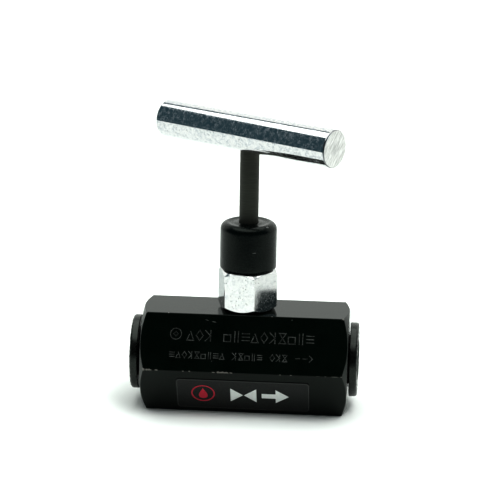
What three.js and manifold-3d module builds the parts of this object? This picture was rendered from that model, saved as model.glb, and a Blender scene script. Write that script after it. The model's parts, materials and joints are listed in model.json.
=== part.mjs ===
// Hand-operated in-line needle valve: hexagon-bar body with a tapered port in each end, screwed-in
// bonnet, two-piece stem with a non-turning metering needle, T-bar handle and two shipping plugs.
//
// Millimetres, +Z up. X runs along the flow, from the inlet (-X) to the outlet (+X). The origin is on
// the body's bottom flat, below the stem's axis. The valve is modelled shut.

import * as THREE from "three";
import { mergeVertices } from "three/addons/utils/BufferGeometryUtils.js";
import Module from "manifold-3d";

const wasm = await Module();
wasm.setup();

// ---- Driving dimensions -------------------------------------------------------------------------

// Body, a length of hexagon bar
const BODY_ACROSS_FLATS = 32;
const BODY_LENGTH = 65;
const BODY_END_RADIUS = 15.65; // circle left on each end by the end chamfer
const END_CHAMFER_ANGLE = 30; // degrees from the end face

// Ports, 3/8 inch taper pipe thread, taken at the thread's minor diameter
const PORT_MOUTH_RADIUS = 7.95;
const PORT_DEPTH = 16;
const PIPE_TAPER = 1 / 32; // loss of radius for each millimetre of depth
const PORT_LEAD_IN = 0.75;

// Passages drilled in the body
const INLET_PASSAGE_Z = 10.8;
const INLET_PASSAGE_RADIUS = 2;
const INLET_PASSAGE_END_X = 1.8;
const OUTLET_PASSAGE_Z = 17;
const OUTLET_PASSAGE_RADIUS = 1.8;

// Seat
const SEAT_FLOOR_Z = 13.4;
const SEAT_HEIGHT = 1.95;
const SEAT_ORIFICE_RADIUS = 1.6;
const SEAT_RADIUS = 4;
const SEAT_CONE_HEIGHT = 1.2;

// Bonnet
const NOSE_BOTTOM_Z = 19.1;
const NOSE_RADIUS = 5.6;
const NOSE_TOP_Z = 22.5;
const BONNET_THREAD_RADIUS = 7;
const BONNET_RELIEF_RADIUS = 6.6;
const BONNET_RELIEF_Z = 31;
const BONNET_LEAD_IN = 0.7; // chamfer at the mouth of the body's thread
const CAVITY_BOTTOM_Z = 24.6; // floor of the bonnet's seal chamber
const BONNET_ACROSS_FLATS = 17;
const BONNET_HEX_TOP_Z = 45.1;
const BONNET_HEX_FACE_RADIUS = 7.95; // circle left on the hexagon's end faces by the chamfers
const BONNET_HEX_CHAMFER = 1.4; // height of the chamfer at a corner
const BONNET_HEX_CORNER_RADIUS = 9.7;
const BONNET_HEX_TURN = 15.7; // degrees about +Z from a corner facing -Y
const BOSS_RADIUS = 7;
const BOSS_TOP_Z = 57.6;
const BOSS_EDGE = 0.6;

// Seals
const BACKUP_RING_HEIGHT = 0.8;
const NEEDLE_O_RING_SECTION = 0.9;
const NOSE_O_RING_SECTION = 0.7;
const NOSE_BACKUP_RING_HEIGHT = 0.6;
const NOSE_GROOVE_RADIUS = 3.9;
const NOSE_GROOVE_ABOVE_BOTTOM = 0.8;
const WIPER_SECTION = 0.6;
const WIPER_GROOVE_RADIUS = 4.5;
const WIPER_BELOW_BOSS_TOP = 2.1;
const CIRCLIP_THICKNESS = 0.7;
const CIRCLIP_GROOVE_RADIUS = 5;
const CIRCLIP_INNER_RADIUS = 3.4;
const CIRCLIP_GAP_ANGLE = 40; // degrees

// Needle and its coupling to the spindle
const NEEDLE_RADIUS = 2.5;
const NEEDLE_TIP_RADIUS = 0.4;
const NEEDLE_HALF_ANGLE = 30; // degrees, of the metering cone
const NEEDLE_HEAD_RADIUS = 4.2;
const NEEDLE_HEAD_HEIGHT = 6.9;
const NEEDLE_LIFT = 3; // full opening, three turns of the one-millimetre spindle thread
const THRUST_BALL_RADIUS = 1.2;
const PINTLE_RADIUS = 2.5;
const CUP_FLOOR_ABOVE_HEAD_BOTTOM = 1.7;
const SWIVEL_BELOW_HEAD_TOP = 1.3;
const SWIVEL_RING_SECTION = 0.42;
const SWIVEL_GROOVE = 0.5; // half the groove's height

// Spindle
const SPINDLE_THREAD_RADIUS = 4;
const SPINDLE_THREAD_LENGTH = 12.1;
const SPINDLE_THREAD_ABOVE_HEAD = 0.8;
const SPINDLE_THREAD_EDGE = 0.4;
const ROD_RADIUS = 3;

// Dust cap
const CAP_RADIUS = 8.95;
const CAP_BOTTOM_Z = 45.25;
const CAP_TOP_Z = 59.95;
const CAP_ROOF = 2;
const CAP_SHOULDER = 2.3;
const CAP_LIP = 0.5;

// T-bar handle
const T_BAR_RADIUS = 5.95;
const T_BAR_LENGTH = 65.8;
const T_BAR_SHIFT = -0.4; // the bar's middle from the stem's axis, along the bar
const T_BAR_Z = 88.3;
const T_BAR_TURN = -33.4; // degrees about +Z from +X
const T_BAR_EDGE = 0.5;
const T_BAR_SOCKET_ABOVE_AXIS = 2.6;
const PIN_RADIUS = 1.5;
const PIN_LENGTH = 9;
const PIN_BELOW_AXIS = 1.5;
const PIN_RECESS = 0.6;

// Port plugs
const PLUG_FLANGE_RADIUS = 11.75;
const PLUG_FLANGE_THICKNESS = 2.8; // with the bead
const PLUG_FLANGE_OUTER_X = 35.65;
const INLET_PLUG_STANDS_OUT = 0.8; // the inlet plug isn't pushed in as far as the other one
const PLUG_FLANGE_ROUND = 0.9;
const PLUG_FLANGE_INNER_EDGE = 0.3;
const PLUG_BEAD_RADIUS = 6; // raised ring moulded on the flange's outer face
const PLUG_BEAD_WIDTH = 1.2;
const PLUG_BEAD_HEIGHT = 0.25;
const PLUG_NECK_RADIUS = 7.65;
const PLUG_TIP_RADIUS = 7.3;
const PLUG_INSERTION = 10;
const PLUG_WALL = 1.3;
const PLUG_WEB = 0.6; // how far the closed end reaches behind the flange

// Label on the lower front flat
const LABEL_WIDTH = 42;
const LABEL_HEIGHT = 13.5;
const LABEL_CORNER = 1.3;
const LABEL_THICKNESS = 0.15;
const LABEL_BELOW_MID_EDGE = 3.4;

// Clearances and mesh fineness
const RUNNING_GAP = 0.1; // between turned pieces, on the radius or along the axis
const RESTING_GAP = 0.05;
const LARGE_ROUND = 36; // sides of a large round shape
const SMALL_ROUND = 20;
const RING_SECTION_SIDES = 6;
const OVERCUT = 1; // how far a cutting shape passes the surface that it opens

// ---- Sizes that follow --------------------------------------------------------------------------

const rad = THREE.MathUtils.degToRad;
const BODY_AXIS_Z = BODY_ACROSS_FLATS / 2;
const BODY_TOP_Z = BODY_ACROSS_FLATS;
const BODY_CORNER_RADIUS = BODY_ACROSS_FLATS / Math.sqrt(3);
const BODY_SIDE = BODY_CORNER_RADIUS; // a hexagon's side is its corner radius
const HALF_LENGTH = BODY_LENGTH / 2;
const PORT_FLOOR_X = HALF_LENGTH - PORT_DEPTH;
const PLUG_FLANGE_INNER_X = PLUG_FLANGE_OUTER_X - PLUG_FLANGE_THICKNESS;
const PORT_FLOOR_RADIUS = PORT_MOUTH_RADIUS - PORT_DEPTH * PIPE_TAPER;

const SEAT_BOTTOM_Z = SEAT_FLOOR_Z + RESTING_GAP;
const SEAT_TOP_Z = SEAT_BOTTOM_Z + SEAT_HEIGHT;
const NOSE_BORE_BOTTOM_Z = NOSE_BOTTOM_Z - 2 * RUNNING_GAP;
const THREAD_BORE_BOTTOM_Z = NOSE_TOP_Z - 3 * RUNNING_GAP;

// Inside the bonnet, from the bottom up
const CAVITY_RADIUS = NEEDLE_HEAD_RADIUS + 4 * RUNNING_GAP;
const BACKUP_LOWER_Z = CAVITY_BOTTOM_Z + RUNNING_GAP;
const NEEDLE_O_RING_Z = BACKUP_LOWER_Z + BACKUP_RING_HEIGHT + RUNNING_GAP + NEEDLE_O_RING_SECTION;
const BACKUP_UPPER_Z = NEEDLE_O_RING_Z + NEEDLE_O_RING_SECTION + RUNNING_GAP;
const WASHER_Z = BACKUP_UPPER_Z + BACKUP_RING_HEIGHT + RUNNING_GAP;
const CIRCLIP_Z = WASHER_Z + BACKUP_RING_HEIGHT + 1.5 * RUNNING_GAP;
const NEEDLE_HEAD_Z = CIRCLIP_Z + CIRCLIP_THICKNESS + 3 * RUNNING_GAP;
const NEEDLE_HEAD_TOP_Z = NEEDLE_HEAD_Z + NEEDLE_HEAD_HEIGHT;
const CUP_RADIUS = PINTLE_RADIUS + 1.5 * RUNNING_GAP;
const CUP_FLOOR_Z = NEEDLE_HEAD_Z + CUP_FLOOR_ABOVE_HEAD_BOTTOM;
const BALL_Z = CUP_FLOOR_Z + RESTING_GAP + THRUST_BALL_RADIUS;
const PINTLE_BOTTOM_Z = BALL_Z + THRUST_BALL_RADIUS + RESTING_GAP;
const SWIVEL_Z = NEEDLE_HEAD_TOP_Z - SWIVEL_BELOW_HEAD_TOP;
const SPINDLE_THREAD_BOTTOM_Z = NEEDLE_HEAD_TOP_Z + SPINDLE_THREAD_ABOVE_HEAD;
const SPINDLE_THREAD_TOP_Z = SPINDLE_THREAD_BOTTOM_Z + SPINDLE_THREAD_LENGTH;
const CAVITY_TOP_Z = NEEDLE_HEAD_TOP_Z + NEEDLE_LIFT + 3 * RUNNING_GAP;
const STOP_SHOULDER_Z = SPINDLE_THREAD_TOP_Z + NEEDLE_LIFT + RUNNING_GAP;
const WIPER_Z = BOSS_TOP_Z - WIPER_BELOW_BOSS_TOP;

const HEX_CORNER_TURN = 30; // degrees from a flat's middle to a corner

// ---- Shape helpers ------------------------------------------------------------------------------

// A solid for cutting and joining, from a closed three.js geometry.
function solidOf(geometry) {
  const bare = geometry.index ? geometry.toNonIndexed() : geometry.clone();
  bare.deleteAttribute("normal");
  bare.deleteAttribute("uv");
  const merged = mergeVertices(bare, 1e-5);
  const triangles = [];
  const index = merged.index.array;
  for (let i = 0; i < index.length; i += 3) {
    const [a, b, c] = [index[i], index[i + 1], index[i + 2]];
    if (a !== b && b !== c && c !== a) {
      triangles.push(a, b, c);
    }
  }
  const mesh = new wasm.Mesh({
    numProp: 3,
    vertProperties: Float32Array.from(merged.attributes.position.array),
    triVerts: Uint32Array.from(triangles),
  });
  return new wasm.Manifold(mesh);
}

// The three.js geometry of a solid.
function geometryOf(solid) {
  const mesh = solid.getMesh();
  const geometry = new THREE.BufferGeometry();
  geometry.setAttribute("position", new THREE.BufferAttribute(mesh.vertProperties, 3));
  geometry.setIndex(new THREE.BufferAttribute(mesh.triVerts, 1));
  geometry.computeVertexNormals();
  return geometry;
}

// A solid turned about +Z from an outline of [radius, z] points, given anticlockwise.
// An outline that doesn't start on the axis is closed, and gives a ring.
function turned(outline, sides) {
  const points = outline.map(([radius, z]) => new THREE.Vector2(radius, z));
  if (outline[0][0] > 0) {
    points.push(points[0].clone());
  }
  return new THREE.LatheGeometry(points, sides).rotateX(Math.PI / 2);
}

// A plain round bar or bore along +Z.
function round(radius, bottom, top, sides) {
  return turned([[0, bottom], [radius, bottom], [radius, top], [0, top]], sides);
}

// A plain flat ring about +Z.
function flatRing(innerRadius, outerRadius, bottom, height) {
  const top = bottom + height;
  const outline = [[innerRadius, bottom], [outerRadius, bottom], [outerRadius, top], [innerRadius, top]];
  return turned(outline, SMALL_ROUND);
}

// A ring of round section about +Z.
function roundRing(middleRadius, sectionRadius, z) {
  const outline = [];
  for (let i = 0; i < RING_SECTION_SIDES; i += 1) {
    const angle = (2 * Math.PI * i) / RING_SECTION_SIDES;
    outline.push([middleRadius + sectionRadius * Math.cos(angle), z + sectionRadius * Math.sin(angle)]);
  }
  return turned(outline, SMALL_ROUND);
}

// Points on an arc in the outline plane, angles in degrees anticlockwise from the radius direction.
function arc(centreRadius, centreZ, size, from, to, steps) {
  const points = [];
  for (let i = 0; i <= steps; i += 1) {
    const angle = rad(from + ((to - from) * i) / steps);
    points.push([centreRadius + size * Math.cos(angle), centreZ + size * Math.sin(angle)]);
  }
  return points;
}

// A hexagonal bar along +Z with two flats facing +X and -X.
function hexagon(acrossFlats, bottom, top) {
  const cornerRadius = acrossFlats / Math.sqrt(3);
  const shape = new THREE.Shape();
  for (let i = 0; i < 6; i += 1) {
    const angle = rad(60 * i + HEX_CORNER_TURN);
    const [x, y] = [cornerRadius * Math.cos(angle), cornerRadius * Math.sin(angle)];
    if (i === 0) {
      shape.moveTo(x, y);
    } else {
      shape.lineTo(x, y);
    }
  }
  shape.closePath();
  const settings = { depth: top - bottom, bevelEnabled: false };
  return new THREE.ExtrudeGeometry(shape, settings).translate(0, 0, bottom);
}

// Lays a shape made along +Z along the body, with its +Z end facing +X or -X.
function alongBody(geometry, side) {
  return geometry.rotateY((side * Math.PI) / 2).translate(0, 0, BODY_AXIS_Z);
}

// ---- Body ---------------------------------------------------------------------------------------

// The bar's outside: a hexagon with both ends coned back to the end circle.
function bodyBlank() {
  const bar = solidOf(hexagon(BODY_ACROSS_FLATS, -HALF_LENGTH, HALF_LENGTH));
  const reach = BODY_CORNER_RADIUS + OVERCUT;
  const coneEnd = HALF_LENGTH - (reach - BODY_END_RADIUS) * Math.tan(rad(END_CHAMFER_ANGLE));
  const envelope = turned([
    [0, -HALF_LENGTH],
    [BODY_END_RADIUS, -HALF_LENGTH],
    [reach, -coneEnd],
    [reach, coneEnd],
    [BODY_END_RADIUS, HALF_LENGTH],
    [0, HALF_LENGTH],
  ], 2 * LARGE_ROUND);
  return bar.intersect(solidOf(envelope));
}

// One tapered port, from its floor out through the end face.
function portCutter(side) {
  const port = turned([
    [0, PORT_FLOOR_X],
    [PORT_FLOOR_RADIUS, PORT_FLOOR_X],
    [PORT_MOUTH_RADIUS, HALF_LENGTH - PORT_LEAD_IN],
    [PORT_MOUTH_RADIUS + PORT_LEAD_IN + OVERCUT, HALF_LENGTH + OVERCUT],
    [0, HALF_LENGTH + OVERCUT],
  ], LARGE_ROUND);
  return solidOf(alongBody(port, side));
}

// A drilled passage along X at a height z.
function passageCutter(radius, z, fromX, toX) {
  const drill = round(radius, fromX, toX, SMALL_ROUND);
  return solidOf(drill.rotateY(Math.PI / 2).translate(0, 0, z));
}

// The stepped bore for the seat, the bonnet's nose and the bonnet's thread.
function bonnetBoreCutter() {
  const chamberRadius = SEAT_RADIUS + RESTING_GAP;
  const noseRadius = NOSE_RADIUS + RUNNING_GAP;
  const threadRadius = BONNET_THREAD_RADIUS + RUNNING_GAP;
  return solidOf(turned([
    [0, SEAT_FLOOR_Z],
    [chamberRadius, SEAT_FLOOR_Z],
    [chamberRadius, NOSE_BORE_BOTTOM_Z],
    [noseRadius, NOSE_BORE_BOTTOM_Z],
    [noseRadius, THREAD_BORE_BOTTOM_Z],
    [threadRadius, THREAD_BORE_BOTTOM_Z],
    [threadRadius, BODY_TOP_Z - BONNET_LEAD_IN],
    [threadRadius + BONNET_LEAD_IN + OVERCUT, BODY_TOP_Z + OVERCUT],
    [0, BODY_TOP_Z + OVERCUT],
  ], LARGE_ROUND));
}

function valveBody() {
  const riserRadius = SEAT_ORIFICE_RADIUS + 2 * RUNNING_GAP;
  const riser = round(riserRadius, INLET_PASSAGE_Z, SEAT_FLOOR_Z + OVERCUT, SMALL_ROUND);
  const portOverlap = PORT_FLOOR_X + OVERCUT;
  const cutters = [
    portCutter(-1),
    portCutter(1),
    bonnetBoreCutter(),
    solidOf(riser),
    passageCutter(INLET_PASSAGE_RADIUS, INLET_PASSAGE_Z, -portOverlap, INLET_PASSAGE_END_X),
    passageCutter(OUTLET_PASSAGE_RADIUS, OUTLET_PASSAGE_Z, 0, portOverlap),
  ];
  const blank = bodyBlank().rotate([0, 90, 0]).translate([0, 0, BODY_AXIS_Z]);
  return geometryOf(cutters.reduce((body, cutter) => body.subtract(cutter), blank));
}

// The seat ring, coned at the needle's angle so that the needle closes on a band and not on an edge.
function seatInsert() {
  const coneSlope = Math.tan(rad(NEEDLE_HALF_ANGLE));
  const coneTopRadius = SEAT_ORIFICE_RADIUS + SEAT_CONE_HEIGHT * coneSlope;
  return turned([
    [SEAT_ORIFICE_RADIUS, SEAT_BOTTOM_Z],
    [SEAT_RADIUS, SEAT_BOTTOM_Z],
    [SEAT_RADIUS, SEAT_TOP_Z],
    [coneTopRadius, SEAT_TOP_Z],
    [SEAT_ORIFICE_RADIUS, SEAT_TOP_Z - SEAT_CONE_HEIGHT],
  ], SMALL_ROUND);
}

// ---- Bonnet and seals ---------------------------------------------------------------------------

// The hexagon with both ends coned back and its corners turned down slightly.
function bonnetHexagon() {
  const bottom = BODY_TOP_Z + RESTING_GAP;
  const hex = solidOf(hexagon(BONNET_ACROSS_FLATS, bottom, BONNET_HEX_TOP_Z));
  const envelope = turned([
    [0, bottom],
    [BONNET_HEX_FACE_RADIUS, bottom],
    [BONNET_HEX_CORNER_RADIUS, bottom + BONNET_HEX_CHAMFER],
    [BONNET_HEX_CORNER_RADIUS, BONNET_HEX_TOP_Z - BONNET_HEX_CHAMFER],
    [BONNET_HEX_FACE_RADIUS, BONNET_HEX_TOP_Z],
    [0, BONNET_HEX_TOP_Z],
  ], 2 * LARGE_ROUND);
  const cornerFacingFront = -90 - HEX_CORNER_TURN;
  return hex.rotate([0, 0, cornerFacingFront + BONNET_HEX_TURN]).intersect(solidOf(envelope));
}

function bonnetNut() {
  const nose = turned([
    [0, NOSE_BOTTOM_Z],
    [NOSE_RADIUS, NOSE_BOTTOM_Z],
    [NOSE_RADIUS, NOSE_TOP_Z],
    [BONNET_THREAD_RADIUS, NOSE_TOP_Z],
    [BONNET_THREAD_RADIUS, BONNET_RELIEF_Z],
    [BONNET_RELIEF_RADIUS, BONNET_RELIEF_Z],
    [BONNET_RELIEF_RADIUS, BODY_TOP_Z + OVERCUT],
    [0, BODY_TOP_Z + OVERCUT],
  ], LARGE_ROUND);
  const boss = turned([
    [0, BONNET_HEX_TOP_Z - OVERCUT],
    [BOSS_RADIUS, BONNET_HEX_TOP_Z - OVERCUT],
    [BOSS_RADIUS, BOSS_TOP_Z - BOSS_EDGE],
    [BOSS_RADIUS - BOSS_EDGE, BOSS_TOP_Z],
    [0, BOSS_TOP_Z],
  ], LARGE_ROUND);
  const needleHole = NEEDLE_RADIUS + 1.5 * RUNNING_GAP;
  const circlipTop = CIRCLIP_Z + CIRCLIP_THICKNESS + RESTING_GAP;
  const spindleThread = SPINDLE_THREAD_RADIUS + 1.5 * RUNNING_GAP;
  const rodHole = ROD_RADIUS + 1.5 * RUNNING_GAP;
  const wiperGroove = WIPER_SECTION + 3 * RUNNING_GAP;
  const bore = turned([
    [0, NOSE_BOTTOM_Z - OVERCUT],
    [needleHole, NOSE_BOTTOM_Z - OVERCUT],
    [needleHole, CAVITY_BOTTOM_Z],
    [CAVITY_RADIUS, CAVITY_BOTTOM_Z],
    [CAVITY_RADIUS, CIRCLIP_Z - RESTING_GAP],
    [CIRCLIP_GROOVE_RADIUS, CIRCLIP_Z - RESTING_GAP],
    [CIRCLIP_GROOVE_RADIUS, circlipTop],
    [CAVITY_RADIUS, circlipTop],
    [CAVITY_RADIUS, CAVITY_TOP_Z],
    [spindleThread, CAVITY_TOP_Z],
    [spindleThread, STOP_SHOULDER_Z],
    [rodHole, STOP_SHOULDER_Z],
    [rodHole, WIPER_Z - wiperGroove],
    [WIPER_GROOVE_RADIUS, WIPER_Z - wiperGroove],
    [WIPER_GROOVE_RADIUS, WIPER_Z + wiperGroove],
    [rodHole, WIPER_Z + wiperGroove],
    [rodHole, BOSS_TOP_Z + OVERCUT],
    [0, BOSS_TOP_Z + OVERCUT],
  ], SMALL_ROUND);
  const grooveHeight = NOSE_BACKUP_RING_HEIGHT + 2 * NOSE_O_RING_SECTION + 2 * RUNNING_GAP;
  const groove = flatRing(NOSE_GROOVE_RADIUS, NOSE_RADIUS + OVERCUT, noseGrooveBottom(), grooveHeight);
  const outside = solidOf(nose).add(bonnetHexagon()).add(solidOf(boss));
  return geometryOf(outside.subtract(solidOf(bore)).subtract(solidOf(groove)));
}

function noseGrooveBottom() {
  return NOSE_BOTTOM_Z + NOSE_GROOVE_ABOVE_BOTTOM;
}

function bonnetBackupRing() {
  const bottom = noseGrooveBottom() + RESTING_GAP;
  return flatRing(NOSE_GROOVE_RADIUS + RUNNING_GAP, NOSE_RADIUS, bottom, NOSE_BACKUP_RING_HEIGHT);
}

function bonnetORing() {
  const middleRadius = (NOSE_GROOVE_RADIUS + NOSE_RADIUS) / 2;
  const bottom = noseGrooveBottom() + NOSE_BACKUP_RING_HEIGHT + 1.5 * RUNNING_GAP;
  return roundRing(middleRadius, NOSE_O_RING_SECTION, bottom + NOSE_O_RING_SECTION);
}

// A ring of the packing round the needle, inside the bonnet.
function packingRing(bottom) {
  return flatRing(NEEDLE_RADIUS + RUNNING_GAP, CAVITY_RADIUS - RUNNING_GAP, bottom, BACKUP_RING_HEIGHT);
}

function needleORing() {
  const middleRadius = (NEEDLE_RADIUS + CAVITY_RADIUS) / 2;
  return roundRing(middleRadius, NEEDLE_O_RING_SECTION, NEEDLE_O_RING_Z);
}

// The snap ring is open over a short arc, so that it can be squeezed into its groove.
function packingCirclip() {
  const outerRadius = CIRCLIP_GROOVE_RADIUS - RUNNING_GAP;
  const from = rad(CIRCLIP_GAP_ANGLE / 2);
  const to = 2 * Math.PI - from;
  const shape = new THREE.Shape();
  shape.absarc(0, 0, outerRadius, from, to, false);
  shape.absarc(0, 0, CIRCLIP_INNER_RADIUS, to, from, true);
  shape.closePath();
  const settings = { depth: CIRCLIP_THICKNESS, bevelEnabled: false, curveSegments: SMALL_ROUND };
  return new THREE.ExtrudeGeometry(shape, settings).translate(0, 0, CIRCLIP_Z);
}

function spindleWiper() {
  return roundRing(ROD_RADIUS + 2 * RUNNING_GAP + WIPER_SECTION, WIPER_SECTION, WIPER_Z);
}

// ---- Needle and spindle -------------------------------------------------------------------------

function needle() {
  const coneSlope = Math.tan(rad(NEEDLE_HALF_ANGLE));
  const contactZ = SEAT_TOP_Z - SEAT_CONE_HEIGHT + RUNNING_GAP;
  const tipZ = contactZ - (SEAT_ORIFICE_RADIUS - NEEDLE_TIP_RADIUS) / coneSlope;
  const coneTopZ = contactZ + (NEEDLE_RADIUS - SEAT_ORIFICE_RADIUS) / coneSlope;
  const grooveRadius = CUP_RADIUS + SWIVEL_RING_SECTION + RUNNING_GAP / 2;
  const outline = [
    [0, tipZ],
    [NEEDLE_TIP_RADIUS, tipZ],
    [NEEDLE_RADIUS, coneTopZ],
    [NEEDLE_RADIUS, NEEDLE_HEAD_Z],
    [NEEDLE_HEAD_RADIUS, NEEDLE_HEAD_Z],
    [NEEDLE_HEAD_RADIUS, NEEDLE_HEAD_TOP_Z],
    [CUP_RADIUS, NEEDLE_HEAD_TOP_Z],
    [CUP_RADIUS, SWIVEL_Z + SWIVEL_GROOVE],
    [grooveRadius, SWIVEL_Z + SWIVEL_GROOVE],
    [grooveRadius, SWIVEL_Z - SWIVEL_GROOVE],
    [CUP_RADIUS, SWIVEL_Z - SWIVEL_GROOVE],
    [CUP_RADIUS, CUP_FLOOR_Z],
    [0, CUP_FLOOR_Z],
  ];
  return turned(outline, SMALL_ROUND);
}

function thrustBall() {
  const outline = arc(0, BALL_Z, THRUST_BALL_RADIUS, -90, 90, 8);
  outline[0][0] = 0;
  outline[outline.length - 1][0] = 0;
  return turned(outline, SMALL_ROUND);
}

function swivelRing() {
  return roundRing(PINTLE_RADIUS + RESTING_GAP, SWIVEL_RING_SECTION, SWIVEL_Z);
}

// The pin lies across the T-bar's axis, below it, so that the spindle keeps metal above the pin.
function pinGeometry(radius, start, end) {
  const pin = round(radius, start, end, SMALL_ROUND).rotateX(-Math.PI / 2);
  return pin.rotateZ(rad(T_BAR_TURN)).translate(0, 0, T_BAR_Z - PIN_BELOW_AXIS);
}

function pinRearEnd() {
  return T_BAR_RADIUS - PIN_RECESS;
}

function spindle() {
  const grooveRadius = PINTLE_RADIUS - SWIVEL_RING_SECTION - RESTING_GAP;
  const rodTop = T_BAR_Z + T_BAR_SOCKET_ABOVE_AXIS - 2 * RUNNING_GAP;
  const rod = turned([
    [0, PINTLE_BOTTOM_Z],
    [PINTLE_RADIUS, PINTLE_BOTTOM_Z],
    [PINTLE_RADIUS, SWIVEL_Z - SWIVEL_GROOVE],
    [grooveRadius, SWIVEL_Z - SWIVEL_GROOVE],
    [grooveRadius, SWIVEL_Z + SWIVEL_GROOVE],
    [PINTLE_RADIUS, SWIVEL_Z + SWIVEL_GROOVE],
    [PINTLE_RADIUS, SPINDLE_THREAD_BOTTOM_Z],
    [SPINDLE_THREAD_RADIUS - SPINDLE_THREAD_EDGE, SPINDLE_THREAD_BOTTOM_Z],
    [SPINDLE_THREAD_RADIUS, SPINDLE_THREAD_BOTTOM_Z + SPINDLE_THREAD_EDGE],
    [SPINDLE_THREAD_RADIUS, SPINDLE_THREAD_TOP_Z],
    [ROD_RADIUS, SPINDLE_THREAD_TOP_Z],
    [ROD_RADIUS, rodTop],
    [0, rodTop],
  ], SMALL_ROUND);
  const reach = ROD_RADIUS + OVERCUT;
  return geometryOf(solidOf(rod).subtract(solidOf(pinGeometry(PIN_RADIUS + RUNNING_GAP, -reach, reach))));
}

// ---- Handle -------------------------------------------------------------------------------------

function tBar() {
  const half = T_BAR_LENGTH / 2;
  const bar = turned([
    [0, -half],
    [T_BAR_RADIUS - T_BAR_EDGE, -half],
    [T_BAR_RADIUS, -half + T_BAR_EDGE],
    [T_BAR_RADIUS, half - T_BAR_EDGE],
    [T_BAR_RADIUS - T_BAR_EDGE, half],
    [0, half],
  ], LARGE_ROUND).translate(0, 0, T_BAR_SHIFT);
  bar.rotateY(Math.PI / 2).rotateZ(rad(T_BAR_TURN)).translate(0, 0, T_BAR_Z);
  const below = T_BAR_Z - T_BAR_RADIUS - OVERCUT;
  const socket = round(ROD_RADIUS + RUNNING_GAP, below, T_BAR_Z + T_BAR_SOCKET_ABOVE_AXIS, SMALL_ROUND);
  const pinFront = pinRearEnd() - PIN_LENGTH - RUNNING_GAP;
  const pinHole = pinGeometry(PIN_RADIUS + RUNNING_GAP, pinFront, T_BAR_RADIUS + OVERCUT);
  return geometryOf(solidOf(bar).subtract(solidOf(socket)).subtract(solidOf(pinHole)));
}

function tBarPin() {
  return pinGeometry(PIN_RADIUS, pinRearEnd() - PIN_LENGTH, pinRearEnd());
}

// ---- Dust cap, plugs and label ------------------------------------------------------------------

function dustCap() {
  const innerRadius = BOSS_RADIUS + 1.5 * RUNNING_GAP;
  const roofZ = CAP_TOP_Z - CAP_ROOF;
  const stemHole = ROD_RADIUS + RUNNING_GAP;
  return turned([
    [innerRadius, CAP_BOTTOM_Z],
    ...arc(CAP_RADIUS - CAP_LIP, CAP_BOTTOM_Z + CAP_LIP, CAP_LIP, -90, 0, 3),
    ...arc(CAP_RADIUS - CAP_SHOULDER, CAP_TOP_Z - CAP_SHOULDER, CAP_SHOULDER, 0, 90, 6),
    [stemHole, CAP_TOP_Z],
    [stemHole, roofZ],
    [innerRadius, roofZ],
  ], LARGE_ROUND);
}

// A tapered push-in plug: a flanged cup that is closed at its flange and open towards the port.
function portPlug(side) {
  const tipX = HALF_LENGTH - PLUG_INSERTION;
  const hollowEndX = PLUG_FLANGE_INNER_X - PLUG_WEB;
  const faceX = PLUG_FLANGE_OUTER_X - PLUG_BEAD_HEIGHT;
  const plug = turned([
    [0, hollowEndX],
    [PLUG_NECK_RADIUS - PLUG_WALL, hollowEndX],
    [PLUG_TIP_RADIUS - PLUG_WALL, tipX],
    [PLUG_TIP_RADIUS, tipX],
    [PLUG_NECK_RADIUS, HALF_LENGTH],
    [PLUG_NECK_RADIUS, PLUG_FLANGE_INNER_X],
    [PLUG_FLANGE_RADIUS - PLUG_FLANGE_INNER_EDGE, PLUG_FLANGE_INNER_X],
    [PLUG_FLANGE_RADIUS, PLUG_FLANGE_INNER_X + PLUG_FLANGE_INNER_EDGE],
    ...arc(PLUG_FLANGE_RADIUS - PLUG_FLANGE_ROUND, faceX - PLUG_FLANGE_ROUND, PLUG_FLANGE_ROUND, 0, 90, 4),
    [PLUG_BEAD_RADIUS + PLUG_BEAD_WIDTH / 2, faceX],
    [PLUG_BEAD_RADIUS + PLUG_BEAD_WIDTH / 4, PLUG_FLANGE_OUTER_X],
    [PLUG_BEAD_RADIUS - PLUG_BEAD_WIDTH / 4, PLUG_FLANGE_OUTER_X],
    [PLUG_BEAD_RADIUS - PLUG_BEAD_WIDTH / 2, faceX],
    [0, faceX],
  ], LARGE_ROUND);
  const standsOut = side < 0 ? INLET_PLUG_STANDS_OUT : 0;
  return alongBody(plug.translate(0, 0, standsOut), side);
}

function label() {
  const [w, h, r] = [LABEL_WIDTH / 2, LABEL_HEIGHT / 2, LABEL_CORNER];
  const shape = new THREE.Shape();
  shape.absarc(w - r, -h + r, r, -Math.PI / 2, 0, false);
  shape.absarc(w - r, h - r, r, 0, Math.PI / 2, false);
  shape.absarc(-w + r, h - r, r, Math.PI / 2, Math.PI, false);
  shape.absarc(-w + r, -h + r, r, Math.PI, 1.5 * Math.PI, false);
  shape.closePath();
  const settings = { depth: LABEL_THICKNESS, bevelEnabled: false, curveSegments: 4 };
  const sticker = new THREE.ExtrudeGeometry(shape, settings);
  const alongFlat = BODY_SIDE / 2 - LABEL_BELOW_MID_EDGE - LABEL_HEIGHT / 2;
  const flatTilt = rad(90 + HEX_CORNER_TURN);
  sticker.translate(0, alongFlat, BODY_ACROSS_FLATS / 2 + RESTING_GAP);
  return sticker.rotateX(flatTilt).translate(0, 0, BODY_AXIS_Z);
}

// ---- Materials ----------------------------------------------------------------------------------

function finish(color, roughness, metalness) {
  return new THREE.MeshStandardMaterial({ color, roughness, metalness });
}

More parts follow.
